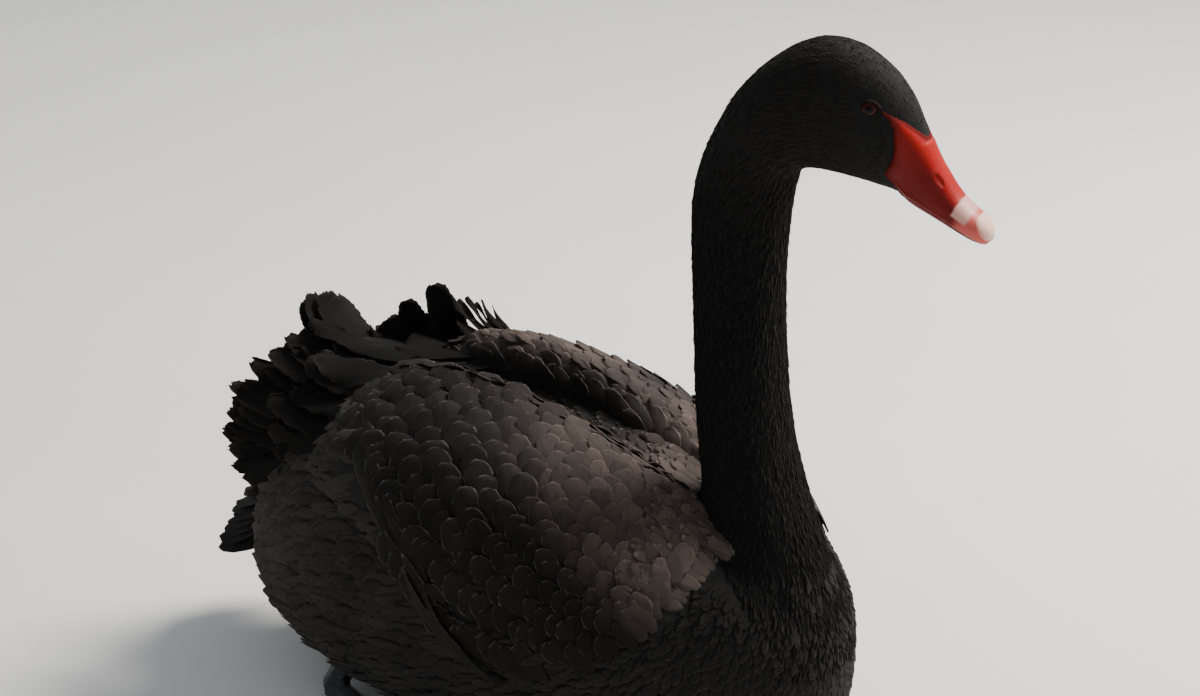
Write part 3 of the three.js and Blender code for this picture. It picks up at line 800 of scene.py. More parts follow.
def bill_material(name, colours, part):
    """Waxy red bill with its pale band and paler tip, and a painted highlight along its ridge."""
    shade = Shade(name)
    place = shade.place()
    ahead, _ = head_axes()
    start = (0.0, NECK_AXIS_Y * MM, 0.0)
    moved = shade.node("ShaderNodeVectorMath", {0: place, 1: start}, operation="SUBTRACT")
    ahead = {0: moved.outputs[0], 1: tuple(ahead)}
    reach = shade.node("ShaderNodeVectorMath", ahead, operation="DOT_PRODUCT").outputs["Value"]
    height = shade.split(place)[2]
    wander = shade.noise(place, 220.0, 3.0)
    cloud = shade.noise(place, 38.0, 2.0)
    deep = shade.mix(shade.ramp(cloud, 0.3, 0.75), colours.bill_red, colours.bill_dark)
    slant = shade.math(
        "SUBTRACT", shade.math("MULTIPLY", reach, 0.865), shade.math("MULTIPLY", height, 0.5)
    )
    slant = shade.math("ADD", slant, shade.math("MULTIPLY", wander, 0.0026))
    rear = shade.ramp(slant, -0.0905, -0.0888)
    front = shade.ramp(slant, -0.0812, -0.0786, 1.0, 0.0)
    margin = shade.math("ADD", height, shade.math("MULTIPLY", reach, 0.602))
    margin = shade.math("ADD", margin, shade.math("MULTIPLY", wander, 0.0020))
    band = shade.math("MULTIPLY", rear, front)
    band = shade.math("MULTIPLY", band, shade.ramp(margin, 0.4532, 0.4556))
    root = shade.math("MULTIPLY", shade.ramp(reach, 0.077, 0.091, 1.0, 0.0), 0.8)
    # Painted highlight: brighter red along the ridge of the bill, where the key light falls
    ridge = shade.math("ADD", height, shade.math("MULTIPLY", reach, 1.42))
    deep = shade.mix(shade.ramp(ridge, 0.5515, 0.5630), deep, colours.bill_ridge_highlight)
    deep = shade.mix(root, deep, colours.bill_root)
    rim = shade.split(shade.attribute("rim"))[0]
    deep = shade.mix(shade.ramp(rim, 0.2, 2.6, 0.9, 0.0), deep, colours.bill_root)
    colour = deep
    if part == "upper":
        beyond = shade.ramp(slant, -0.0880, -0.0810)
        colour = shade.mix(shade.math("MULTIPLY", beyond, 0.85), deep, colours.bill_pink)
        colour = shade.mix(band, colour, colours.bill_band)
    if part == "nail":
        blush = shade.ramp(cloud, 0.3, 0.8, 0.0, 0.35)
        colour = shade.mix(blush, colours.bill_nail, colours.bill_pink)
        colour = shade.mix(shade.ramp(rim, 0.2, 2.4, 0.7, 0.0), colour, colours.bill_pink)
    fine = shade.noise(place, 900.0, 3.0)
    shade.bump(shade.math("ADD", fine, shade.math("MULTIPLY", wander, 3.0)), 0.15, 0.0004)
    return shade.finish(
        Base_Color=colour,
        Roughness=shade.math(
            "MAXIMUM", shade.ramp(wander, 0.3, 0.7, 0.34, 0.46), shade.ramp(rim, 0.2, 3.5, 1.0, 0.3)
        ),
        Specular_IOR_Level=0.17,
        Subsurface_Weight=0.05,
        Subsurface_Radius=(0.003, 0.001, 0.0006),
    )


def lid_material(colours):
    """Dark wrinkled skin of the lids."""
    shade = Shade("swan_lid")
    spots = shade.noise(shade.place(), 900.0, 4.0)
    mixed = shade.mix(shade.ramp(spots, 0.3, 0.7, 0.0, 0.12), colours.lid, colours.bill_root)
    shade.bump(spots, 0.4, 0.0004)
    return shade.finish(Base_Color=mixed, Roughness=0.85, Specular_IOR_Level=0.08)


def scute_material(name, colour):
    """Leathery black skin of legs and feet, with small scales."""
    shade = Shade(name)
    place = shade.place()
    values = {"Vector": place, "Scale": 420.0}
    cells = shade.node("ShaderNodeTexVoronoi", values, feature="DISTANCE_TO_EDGE")
    edge = shade.ramp(cells.outputs[0], 0.0, 0.12)
    tone = shade.noise(place, 60.0, 3.0)
    mixed = shade.mix(shade.ramp(tone, 0.3, 0.7), colour, tuple(c * 2.2 for c in colour))
    mixed = shade.mix(shade.math("SUBTRACT", 1.0, edge), mixed, tuple(c * 0.5 for c in colour))
    shade.bump(edge, 0.6, 0.0006)
    return shade.finish(Base_Color=mixed, Roughness=0.5)


def eye_material(colours):
    """Dark pupil, red iris with fine spokes, and a clear glossy front."""
    shade = Shade("swan_eye")
    spread = shade.split(shade.attribute("disc"))[0]
    spokes = shade.noise(shade.attribute("disc"), 14.0, 4.0)
    pupil = shade.ramp(spread, 0.30, 0.34)
    outer = shade.ramp(spread, 0.66, 0.80)
    iris = shade.mix(shade.ramp(spokes, 0.3, 0.7), colours.iris, colours.iris_dark)
    colour = shade.mix(pupil, (0.002, 0.002, 0.002), iris)
    colour = shade.mix(outer, colour, (0.012, 0.004, 0.003))
    return shade.finish(Base_Color=colour, Roughness=0.18, Specular_IOR_Level=0.1)


# Feathers
def leaf(rows, columns, dice, fray):
    """A small feather as a closed leaf: a ridged top over a flat underside that shares its rim.

    Gives points as across (-1 to 1), along (0 to 1) and height, and its faces."""
    root, widest, point = 0.42, 0.42, 0.12
    v = np.linspace(0, 1, rows + 1) ** 0.92
    s = np.linspace(-1, 1, columns)
    points, faces = [], []
    for i, vi in enumerate(v):
        half = root + (1 - root) * min(1.0, vi / widest)
        half = max(half * math.sqrt(max(1 - max(0.0, (vi - 0.5) / 0.52) ** 2.3, 0.0)), point)
        for sj in s:
            jag = 1 + (dice.random() - 0.5) * fray * (abs(sj) > 0.9)
            end = vi + (dice.random() - 0.6) * fray * 0.5 * (i == rows)
            points.append([sj * half * jag, end, 1 - sj * sj])
    for i in range(rows):
        for j in range(columns - 1):
            a = i * columns + j
            faces.append([a, a + 1, a + columns + 1, a + columns])
        left, right = i * columns, i * columns + columns - 1
        faces.append([left, left + columns, right + columns, right])
    faces.append(list(range(columns))[::-1])
    faces.append([rows * columns + j for j in range(columns)])
    return np.array(points), faces


def grid_faces(rows, columns):
    """Faces of a closed blade of two layers of rows + 1 by columns points, rims marked."""
    faces, rims = [], []
    under = (rows + 1) * columns
    for i in range(rows):
        for j in range(columns - 1):
            a = i * columns + j
            faces.append([a, a + 1, a + columns + 1, a + columns])
            faces.append([under + a, under + a + columns, under + a + columns + 1, under + a + 1])
            rims += [False, False]
        left, right = i * columns, i * columns + columns - 1
        faces.append([left, left + columns, under + left + columns, under + left])
        faces.append([right, under + right, under + right + columns, right + columns])
        rims += [True, True]
    for j in range(columns - 1):
        last = rows * columns + j
        faces.append([j, under + j, under + j + 1, j + 1])
        faces.append([last, last + 1, under + last + 1, under + last])
        rims += [True, True]
    return np.array(faces), np.array(rims)


def blade_outline(v, root, blunt):
    """Half width of a vane along its length, from its root's share to a blunt tip."""
    swelling = root + (1 - root) * np.minimum(1, v / 0.5) ** 0.85
    return swelling * np.sqrt(np.maximum(1 - np.clip((v - 0.55) / 0.455, 0, 1) ** blunt, 0))


def blades(
    name,
    root,
    tip,
    out,
    width,
    bend,
    roll,
    material,
    uv,
    patch,
    dice,
    *,
    rows,
    columns,
    camber,
    thickness,
    ripple,
    fray,
    root_share,
    blunt=2.2,
    split=0.0,
    curl=1.5,
):
    """Many thin closed vanes at once, from roots to tips, bent towards their outer face.

    Lengths are in metres but thickness, at root and tip, is in millimetres; bend and roll are
    in degrees. Curl says how late the bend comes, and split how deeply the rim is notched."""
    count = len(root)
    chord = tip - root
    aside = unit(np.cross(chord, out))
    v = 1 - (1 - np.linspace(0, 1, rows + 1)) ** 1.45
    s = np.sin(np.linspace(-1, 1, columns) * 1.45) / np.sin(1.45)
    line = [np.zeros_like(root)]
    runs = []
    for i, vi in enumerate(v):
        run = turned(chord, aside, np.radians(bend) * vi**curl)
        runs.append(run)
        if i:
            line.append(line[-1] + run * (vi - v[i - 1]))
    end = line[-1]
    axis = unit(np.cross(end, chord) + TINY * aside)
    cos = np.clip((unit(end) * unit(chord)).sum(-1), -1, 1)
    fit = np.arccos(cos)
    scale = np.linalg.norm(chord, axis=-1) / np.linalg.norm(end, axis=-1)
    phase = dice.random(count) * 6.28
    top = np.zeros((count, rows + 1, columns, 3))
    bottom = np.zeros_like(top)
    for i, vi in enumerate(v):
        run = unit(turned(runs[i], axis, fit))
        across = turned(aside, run, np.radians(roll) * min(1, 2 * vi))
        face = unit(np.cross(across, run))
        middle = turned(line[i], axis, fit) * scale[:, None] + root
        half = width / 2 * blade_outline(vi, root_share, blunt)
        thick = (thickness[0] + (thickness[1] - thickness[0]) * vi) * MM / 2
        for j, sj in enumerate(s):
            wave = ripple * abs(sj) ** 1.5 * vi * np.sin(sj * 2.2 + vi * 9 + phase)
            rim = abs(sj) > 0.95 or i == rows
            jag = 1 + (dice.random(count) - 0.5) * 2 * fray * rim
            jag = jag - split * rim * (vi > 0.3) * (dice.random(count) > 0.85)
            push = (dice.random(count) - 0.7) * fray * 2.0 * (vi > 0.55) * rim
            point = (
                middle
                + across * (sj * half * jag)[:, None]
                + run * (push * width * 0.6)[:, None]
                + face * (wave - camber * width * sj * sj * min(1, 2 * vi))[:, None]
            )
            quill = QUILL * MM * (1 - vi) * (abs(sj) < 0.01)
            top[:, i, j] = point + face * (thick + quill)
            bottom[:, i, j] = point - face * thick
    points = np.stack([top, bottom], 1).reshape(count, -1, 3)
    faces, rims = grid_faces(rows, columns)
    per = points.shape[1]
    all_faces = (faces[None] + np.arange(count)[:, None, None] * per).reshape(-1, 4)
    points[..., 2] = np.maximum(points[..., 2], FEATHER_ROOM)
    ob = mesh_object(name, points.reshape(-1, 3), all_faces, material, np.tile(rims, count))
    vv, ss = np.meshgrid(v, s, indexing="ij")
    place = np.stack([ss, vv], -1).reshape(-1, 2)
    place = np.vstack([place, place])
    note_vanes(ob, place, uv, patch, dice)
    return ob


def note_vanes(ob, place, uv, patch, dice):
    """Writes each feather's own places and the map whose patches sit at its root."""
    vane = np.zeros((len(uv), len(place), 3), np.float32)
    vane[..., :2] = place
    vane[..., 2] = dice.random(len(uv))[:, None]
    note(ob.data, "vane", vane)
    local = np.stack([place[:, 0] * 0.5, place[:, 1] - 0.5], -1) * patch
    map_places(ob.data, (uv[:, None] + local[None]).reshape(-1, 2))


def tuft_shapes(name, dice, *, rows, columns, count, width, height, fray):
    """A collection of small feather shapes of unit length along Y, for planting."""
    group = bpy.data.collections.new(name)
    for k in range(count):
        places, faces = leaf(rows, columns, dice, fray)
        curve = (dice.random() - 0.5) * 0.12
        points = np.stack(
            [
                places[:, 0] * width / 2 + curve * places[:, 1] ** 2,
                places[:, 1],
                places[:, 2] * height * (1.1 - places[:, 1]),
            ],
            -1,
        )
        ob = mesh_object(f"{name}_{k}", points, faces)
        bpy.context.scene.collection.objects.unlink(ob)
        group.objects.link(ob)
        tone = 0.25 + 0.5 * (k + 0.5) / count
        vane = np.stack([np.clip(places[:, 0], -1, 1), places[:, 1], places[:, 1] * 0 + tone], -1)
        note(ob.data, "vane", vane)
        map_places(ob.data, np.stack([places[:, 0] * 0.5, places[:, 1] - 0.5], -1) * PATCH)
    return group


def planter_tree():
    """Geometry Nodes: a small feather on every point, turned by its notes, then made real."""
    tree = bpy.data.node_groups.new("swan_feather_planter", "GeometryNodeTree")
    inputs = {
        "Geometry": "Geometry",
        "Feathers": "Collection",
        "Shapes": "Int",
        "Seed": "Int",
        "Plumpness": "Float",
        "Finish": "Material",
    }
    for name, kind in inputs.items():
        tree.interface.new_socket(name, in_out="INPUT", socket_type=f"NodeSocket{kind}")
    tree.interface.new_socket("Geometry", in_out="OUTPUT", socket_type="NodeSocketGeometry")

    def named(name):
        kind = "GeometryNodeInputNamedAttribute"
        return lay(tree, kind, {"Name": name}, data_type="FLOAT_VECTOR").outputs[0]

    start = lay(tree, "NodeGroupInput").outputs
    shapes = {"Collection": start["Feathers"], "Separate Children": True, "Reset Children": True}
    group = lay(tree, "GeometryNodeCollectionInfo", shapes)
    last = lay(tree, "ShaderNodeMath", {0: start["Shapes"], 1: 1.0}, operation="SUBTRACT")
    pick = lay(tree, "FunctionNodeRandomValue", data_type="INT")
    whole = {socket.name: socket for socket in pick.inputs if socket.type == "INT"}
    tree.links.new(last.outputs[0], whole["Max"])
    tree.links.new(start["Seed"], whole["Seed"])
    axes = lay(
        tree,
        "FunctionNodeAxesToRotation",
        {0: named("out"), 1: named("lie")},
        primary_axis="Z",
        secondary_axis="Y",
    )
    plump = lay(tree, "ShaderNodeCombineXYZ", {0: 1.0, 1: 1.0, 2: start["Plumpness"]})
    size = {0: named("size"), 1: plump.outputs[0]}
    size = lay(tree, "ShaderNodeVectorMath", size, operation="MULTIPLY")
    planted = {
        "Points": start["Geometry"],
        "Instance": group.outputs[0],
        "Pick Instance": True,
        "Instance Index": pick.outputs[2],
        "Rotation": axes.outputs[0],
        "Scale": size.outputs[0],
    }
    planted = lay(tree, "GeometryNodeInstanceOnPoints", planted)
    real = lay(tree, "GeometryNodeRealizeInstances", {0: planted.outputs[0]})
    place = lay(tree, "ShaderNodeVectorMath", {0: named("OFBake"), 1: named("root_uv")})
    store = lay(tree, "GeometryNodeStoreNamedAttribute", data_type="FLOAT2", domain="CORNER")
    store.inputs["Name"].default_value = "OFBake"
    tree.links.new(real.outputs[0], store.inputs["Geometry"])
    tree.links.new(place.outputs[0], store.inputs["Value"])
    paint = {"Geometry": store.outputs[0], "Material": start["Finish"]}
    paint = lay(tree, "GeometryNodeSetMaterial", paint)
    lay(tree, "NodeGroupOutput", {0: paint.outputs[0]})
    return tree


def plant(name, group, points, out, lie, size, root_uv, material, seed):
    """Plants small feathers on points and returns them as one plain mesh object."""
    ob = mesh_object(name, points, np.zeros((0, 3), np.int32))
    root_uv = np.concatenate([root_uv, np.zeros((len(root_uv), 1))], 1)
    notes = {"out": out, "lie": lie, "size": size, "root_uv": root_uv}
    for key, value in notes.items():
        note(ob.data, key, value)
    tree = bpy.data.node_groups.get("swan_feather_planter") or planter_tree()
    planter = ob.modifiers.new("planter", "NODES")
    planter.node_group = tree
    inputs = {s.name: s.identifier for s in tree.interface.items_tree if s.in_out == "INPUT"}
    planter[inputs["Feathers"]] = group
    planter[inputs["Shapes"]] = len(group.objects)
    planter[inputs["Seed"]] = seed
    planter[inputs["Plumpness"]] = bpy.context.scene.swan_coat.plumpness
    planter[inputs["Finish"]] = material
    baked(ob)
    for key in notes:
        if key in ob.data.attributes:
            ob.data.attributes.remove(ob.data.attributes[key])
    keep_above(ob.data, FEATHER_ROOM)
    return ob


def plant_bands(name, group, order, marks, feathers, finish, seed):
    """Plants feathers in one piece for each band between marks, so that none gets too large."""
    for k, (low, high) in enumerate(zip(marks, marks[1:])):
        pick = (order >= low) & (order < high)
        band = (values[pick] for values in feathers)
        settle(plant(f"{name}_{k + 1}", group, *band, finish, seed + k), "plumage")


def drop_shapes(group):
    """Clears away the small shapes once they are planted."""
    for ob in list(group.objects):
        mesh = ob.data
        bpy.data.objects.remove(ob)
        bpy.data.meshes.remove(mesh)
    bpy.data.collections.remove(group)


# Roots of the coat
def rows_over(surface, share_from, share_to, spacing, beside, dice):
    """Staggered rows of places round a surface; both spacings are given by the share."""
    shares, angles = [], []
    share, row = share_from, 0
    turn = np.linspace(0.0, FULL_TURN, 40)
    while share < share_to:
        run = run_along(surface, np.array([share]), np.array([np.pi]))
        per_share = max(np.linalg.norm(run[0]) / (2 * SHARE_STEP), 1e-4)
        ring = surface(np.full(len(turn), share), turn)
        length = np.linalg.norm(np.diff(ring, axis=0), axis=1)
        total = length.sum()
        count = max(int(total / beside(share)), 1)
        want = (np.arange(count) + 0.5 * (row % 2) + 0.25) * total / count
        want += (dice.random(count) - 0.5) * 0.35 * total / count
        place = np.interp(want, np.concatenate([[0], np.cumsum(length)]), turn)
        angles.append(place)
        shares.append(share + (dice.random(count) - 0.5) * 0.3 * spacing(share) / per_share)
        share += max(spacing(share) / per_share, 1e-3)
        row += 1
    return np.concatenate(shares), np.concatenate(angles)


def on_skin(points, reach):
    """Nearest places of the skin, its directions, and which of them are within reach."""
    bvh = skin_tree()
    places = np.zeros_like(points)
    outs = np.zeros_like(points)
    near = np.zeros(len(points), bool)
    for i, point in enumerate(points):
        hit, normal, _, distance = bvh.find_nearest(Vector(point))
        if hit is not None and distance < reach:
            places[i], outs[i], near[i] = hit, normal, True
    return places, outs, near


def laid(lie, out):
    """A lie made flat on the surface it grows from."""
    return unit(lie - out * (lie * out).sum(-1, keepdims=True))


def raised(lie, out, tilt):
    """A lie lifted off the surface by its tilt, and the outer side square to it."""
    lie = unit(lie + out * tilt[:, None])
    return lie, unit(out - lie * (out * lie).sum(-1, keepdims=True))


def coat_map(share, angle, start):
    """Places of the skin's own unwrap: round the ring across, and along from a start."""
    return np.stack([0.02 + 0.96 * (angle / FULL_TURN) % 1.0, start + 0.46 * share], -1)


def body_lie(points):
    """The way body feathers point: down the breast, then back along the sides."""
    breast = smooth(-points[:, 1], 0.10, 0.20)[:, None]
    side = np.sign(points[:, 0])[:, None] * np.array([[0.16, 0, 0]])
    back = np.array([[0, 1.0, -0.22]]) + side
    down = np.array([[0, 0.35, -1.0]]) + side
    return back * (1 - breast) + down * breast


# What one operator makes and a later one reads
MADE = {}


def skin_tree():
    """The skin as a search tree, made when it is first asked for."""
    if "bvh" not in MADE:
        mesh = MADE["skin"].data
        polygons = [tuple(p.vertices) for p in mesh.polygons]
        MADE["bvh"] = BVHTree.FromPolygons(places_of(mesh).tolist(), polygons)
    return MADE["bvh"]


# Settings
def colour_prop(name, about, default):
    kind = {"size": 3, "min": 0, "max": 1, "subtype": "COLOR"}
    return bpy.props.FloatVectorProperty(name=name, description=about, default=default, **kind)


def length_prop(name, about, default):
    kind = {"min": 0, "subtype": "DISTANCE", "unit": "LENGTH"}
    return bpy.props.FloatProperty(name=name, description=about, default=default, **kind)


def amount_prop(name, about, default):
    return bpy.props.FloatProperty(name=name, description=about, default=default, min=0)


class SwanColours(bpy.types.PropertyGroup):
    """Colours of plumage, bill, eyes and feet"""

    plumage: colour_prop("Plumage", "Black of the neck, head and body", (0.0046, 0.0043, 0.0043))
    plumage_pale: colour_prop("Plumage pale", "Paler tone of body feathers", (0.033, 0.029, 0.0265))
    wing: colour_prop("Wing", "Dark middle of a wing feather", (0.0030, 0.0026, 0.0023))
    # Pale rim of a wing feather, and also the paler colour painted where the key light falls on the
    # wings
    wing_rim_and_painted_light: colour_prop("Wing rim", "Pale rim of a wing feather", (0.13, 0.096, 0.079))
    tertial: colour_prop("Tertials", "Ruffled feathers of the bustle", (0.0046, 0.0043, 0.0042))
    tertial_rim: colour_prop("Tertial rim", "Their rims", (0.022, 0.019, 0.0175))
    bill_red: colour_prop("Bill", "Red of the bill", (0.18, 0.0036, 0.0024))
    bill_dark: colour_prop("Bill deep", "Deeper red of the bill", (0.115, 0.0028, 0.002))
    # Painted highlight along the lit ridge of the bill
    bill_ridge_highlight: colour_prop("Bill ridge", "Brighter red of the ridge", (0.36, 0.008, 0.0045))
    bill_root: colour_prop("Bill root", "Dark skin next to the feathers", (0.07, 0.004, 0.003))
    bill_band: colour_prop("Bill band", "Pale band across the bill", (0.62, 0.33, 0.275))
    bill_pink: colour_prop("Bill pink", "Pink before the nail", (0.55, 0.11, 0.09))
    bill_nail: colour_prop("Bill nail", "Pale nail at the tip", (0.82, 0.55, 0.44))
    iris: colour_prop("Iris", "Red of the iris", (0.055, 0.010, 0.006))
    iris_dark: colour_prop("Iris dark", "Darker spokes of the iris", (0.02, 0.004, 0.003))
    lid: colour_prop("Lid", "Bare skin round the eye", (0.007, 0.0042, 0.0038))
    foot: colour_prop("Foot", "Leathery skin of legs and feet", (0.011, 0.011, 0.012))


class SwanCoat(bpy.types.PropertyGroup):
    """Sizes of the small feathers and of the skin under them"""

    depth_neck: length_prop("Neck coat depth", "How deep the skin lies on the neck", 0.0013)
    depth_body: length_prop("Body coat depth", "How deep the skin lies on the body", 0.003)
    voxel: length_prop("Skin grain", "Size of the skin's cells", 0.0028)
    neck_tuft: length_prop("Neck tuft", "Length of a small neck feather", 0.0060)
    face_tuft: length_prop("Face tuft", "Length of the smallest face feathers", 0.0036)
    body_feather: length_prop("Body feather", "Length of a flank feather", 0.020)
    plumpness: amount_prop("Plumpness", "Height of the small feathers' ridge", 1.0)


class SwanStudio(bpy.types.PropertyGroup):
    """Lights and floor"""

    key: amount_prop("Key", "Power of the large soft light", 176.0)
    fill: amount_prop("Fill", "Power of the fill light", 5.0)
    sky: amount_prop("Sky", "Strength of the even surround", 0.50)
    floor: colour_prop("Floor", "Pale floor", (0.72, 0.71, 0.7))


# Pieces
class SWAN_OT_skin(bpy.types.Operator):
    """Skin of body, neck and head in one, with the wings' and tail's cores under the coat"""

    bl_idname = "swan.skin"
    bl_label = "Skin"

    def execute(self, context):
        coat = context.scene.swan_coat
        body, neck = -coat.depth_body / MM, -coat.depth_neck / MM
        turns = np.linspace(0, FULL_TURN, 97)[:-1]
        parts = []
        share = np.linspace(0.002, 0.998, 90)[:, None]
        parts.append(loft(torso_point(share, turns[None], body)))
        share = np.linspace(0, (BILL_START * STATIONS + SKIN_INTO_BILL) / STATIONS, 150)[:, None]
        # Along the bill the skin lies deeper, except on the ridge
        bare = smooth(share * STATIONS, 17.4, 18.6) * smooth(-np.cos(turns), -0.97, -0.8)
        parts.append(loft(neck_point(share, turns[None], neck - 0.9 * bare)))
        for side in (-1, 1):
            share = np.linspace(WING_FROM, WING_TO, 60)
            rings = []
            for u in share:
                hem = wing_hem(np.array(u))
                outer = wing_point(np.full(40, u), np.linspace(WING_TOP, hem, 40), side, grow=-1.5)
                inner = torso_point(np.full(30, u), np.radians(np.linspace(hem, WING_TOP, 30)), -14)
                rings.append(np.vstack([outer, inner * [side, 1, 1]]))
            parts.append(loft(rings))
        y, z, half_x, half_z = np.moveaxis(along(TAIL, np.linspace(0, 1, 30)), -1, 0)
        ring = np.linspace(0, FULL_TURN, 49)[:-1][None]
        tail = np.stack(
            np.broadcast_arrays(
                half_x[:, None] * squared(np.sin(ring), 0.8),
                y[:, None] - 3,
                z[:, None] + (half_z[:, None] - 1) * np.cos(ring),
            ),
            -1,
        )
        parts.append(loft(tail * MM))
        ob = join_meshes("skin", parts)
        outward(ob)
        cells = ob.modifiers.new("cells", "REMESH")
        cells.mode, cells.voxel_size = "VOXEL", coat.voxel
        cells.use_smooth_shade = True
        baked(ob)
        self.blend_neck(ob)
        keep_above(ob.data, SKIN_ROOM)
        ob.data.materials.append(skin_material(context.scene.swan_colours))
        under = ("torso", "neck_lower", "neck_middle", "neck_upper", "head")
        MADE["skin"] = settle(ob, "plumage", *under)
        return {"FINISHED"}

    @staticmethod
    def blend_neck(ob):
        """Softens the cells everywhere and the join of neck and breast the most."""
        _, y, z = places_of(ob.data).T
        near = smooth(-y, 0.05, 0.10) * smooth(-z, -0.25, -0.19) * smooth(z, 0.05, 0.1)
        group = ob.vertex_groups.new(name="join")
        for level in range(1, 11):
            chosen = np.nonzero(np.ceil(near * 10) == level)[0]
            group.add(chosen.tolist(), level / 10, "REPLACE")
        for factor, times, name in ((0.5, 5, ""), (0.6, 60, "join")):
            soft = ob.modifiers.new("soft", "SMOOTH")
            soft.factor, soft.iterations, soft.vertex_group = factor, times, name
        baked(ob)


class SWAN_OT_bill(bpy.types.Operator):
    """Upper and lower bill with bare red skin up to the eye, nostrils and a pale nail"""

    bl_idname = "swan.bill"
    bl_label = "Bill"

    def execute(self, context):
        colours = context.scene.swan_colours
        upper, lower, nail = [], [], []
        for share in np.linspace(BILL_START, BILL_END, 170):
            split = self.mouth_angle(share)
            upper.append((share, np.linspace(-split, split, 91)))
            lower.append((share, np.linspace(split, FULL_TURN - split, 51)))
        for share in np.linspace(NAIL_START, BILL_END, 64):
            split = min(self.mouth_angle(share) - 0.12, 1.75)
            nail.append((share, np.linspace(-split, split, 61)))
        self.shell("bill_upper", upper, 0.25, colours, "upper")
        self.shell("bill_lower", lower, -0.15, colours, "lower")
        self.shell("bill_nail", nail, 0.55, colours, "nail")
        return {"FINISHED"}

    @staticmethod
    def mouth_angle(share):
        """Angle from the crown at which a ring meets the line of the mouth."""
        back_a, back_z, front_a, front_z, _, _ = along(NECK, np.array(share))
        middle = np.array([(back_a + front_a) / 2, (back_z + front_z) / 2])
        ray = np.array([back_a - front_a, back_z - front_z])
        best = -0.36
        for (xa, ya), (xb, yb) in zip(MOUTH_LINE, MOUTH_LINE[1:]):
            step = np.array([xb - xa, yb - ya])
            base = np.array([xa, ya]) - middle
            cross = ray[0] * step[1] - ray[1] * step[0]
            if abs(cross) < 1e-9:
                continue
            t = (base[0] * step[1] - base[1] * step[0]) / cross
            u = (base[0] * ray[1] - base[1] * ray[0]) / cross
            if -0.02 <= u <= 1.02 and -0.5 < t < 0.5:
                best = t
        reach = np.clip(best / 0.5, -0.97, 0.97)
        return float(np.arccos(np.sign(reach) * abs(reach) ** (NECK_ROUNDNESS / 2)))

    def shell(self, name, rows, grow, colours, part):
        """One shell of the bill, with its edge and its inner side sunk under the skin's coat."""
        rings, rims = [], []
        for share, angle in rows:
            side = inside(share, angle, NAIL_EDGE if part == "nail" else RED_EDGE)
            rims.append(np.concatenate([side, 0 * side + 5]))
            # Sunk outside the outline and up to its full height inside, over the head's surface
            if part == "nail":
                rise = -0.7 + (grow + 0.7) * smooth(side, -0.9, 0.35)
            else:
                rise = -1.3 + (grow + 1.3) * smooth(side, -0.5, 5.0)
                rise = rise - 4.5 * smooth(-side, 0.2, 1.2)
            # The mouth's edge is rounded, and the inner side is drawn towards the middle
            lip = 0.5 - 0.5 * np.cos(np.linspace(0, FULL_TURN, len(angle)))
            rise = rise - 0.5 * (1 - np.minimum(1, lip * 60))
            outer = neck_point(np.full(len(angle), share), angle, rise)
            if part == "upper":
                outer = dent(outer, share, angle)
            back = neck_point(np.full(len(angle), share), angle[::-1], -3.2)
            core = neck_point(np.array(share), np.array(0.0), 0) * 0.5
            core = core + neck_point(np.array(share), np.array(np.pi), 0) * 0.5
            back = core + (back - core) * 0.75
            rings.append(np.vstack([outer, back]))
        points, faces = loft(rings)
        ob = mesh_object(f"{name}_shell", points, faces)
        rims = np.concatenate([*rims, [5, 5]])
        note(ob.data, "rim", np.stack([rims] * 3, -1))
        outward(ob)
        ob.data.materials.append(bill_material(f"swan_{name}", colours, part))
        settle(ob, "bill_nail" if part == "nail" else "bill_red", name)


def edge_distance(points, outline):
    """Signed distance of points to an outline seen from the side, positive inside."""
    outline = np.asarray(outline, float)
    nearest = np.full(len(points), 1e9)
    within = np.zeros(len(points), bool)
    for a, b in zip(outline, np.roll(outline, -1, 0)):
        step = b - a
        t = np.clip(((points - a) @ step) / (step @ step), 0, 1)
        nearest = np.minimum(nearest, np.linalg.norm(points - (a + t[:, None] * step), axis=1))
        crosses = (a[1] > points[:, 1]) != (b[1] > points[:, 1])
        slope = step[1] if abs(step[1]) > 1e-9 else 1e-9
        x = a[0] + (points[:, 1] - a[1]) / slope * step[0]
        within ^= crosses & (points[:, 0] < x)
    return np.where(within, nearest, -nearest)


def inside(share, angle, outline):
    """How far inside a side-seen outline each place of a ring of the head lies, in mm."""
    return edge_distance(np.stack(side_view(share, angle), -1), outline)


def dent(points, share, angle):
    """Sinks the nostrils into both sides of the upper bill."""
    ahead, up = side_view(share, angle)
    ahead, up = ahead - NOSTRIL[0], up - NOSTRIL[1]
    slope = math.radians(NOSTRIL_SLOPE)
    run = ahead * math.cos(slope) + up * math.sin(slope)
    rise = -ahead * math.sin(slope) + up * math.cos(slope)
    hole, lip = NOSTRIL_HOLE, NOSTRIL_LIP
    depth = np.clip(1.1 - (run / hole[0]) ** 2 - (rise / hole[1]) ** 2, 0, 1)
    rim = np.exp(-((np.sqrt((run / lip[0]) ** 2 + (rise / lip[1]) ** 2) - 1) ** 2) / 0.05)
    _, right = head_axes()
    side = np.sign(np.sin(angle))
    sink = np.sqrt(depth) * NOSTRIL_DEPTH - rim * NOSTRIL_RISE
    sink = sink * MM * (np.abs(np.sin(angle)) > 0.3)
    return points + right * (side * sink)[:, None]


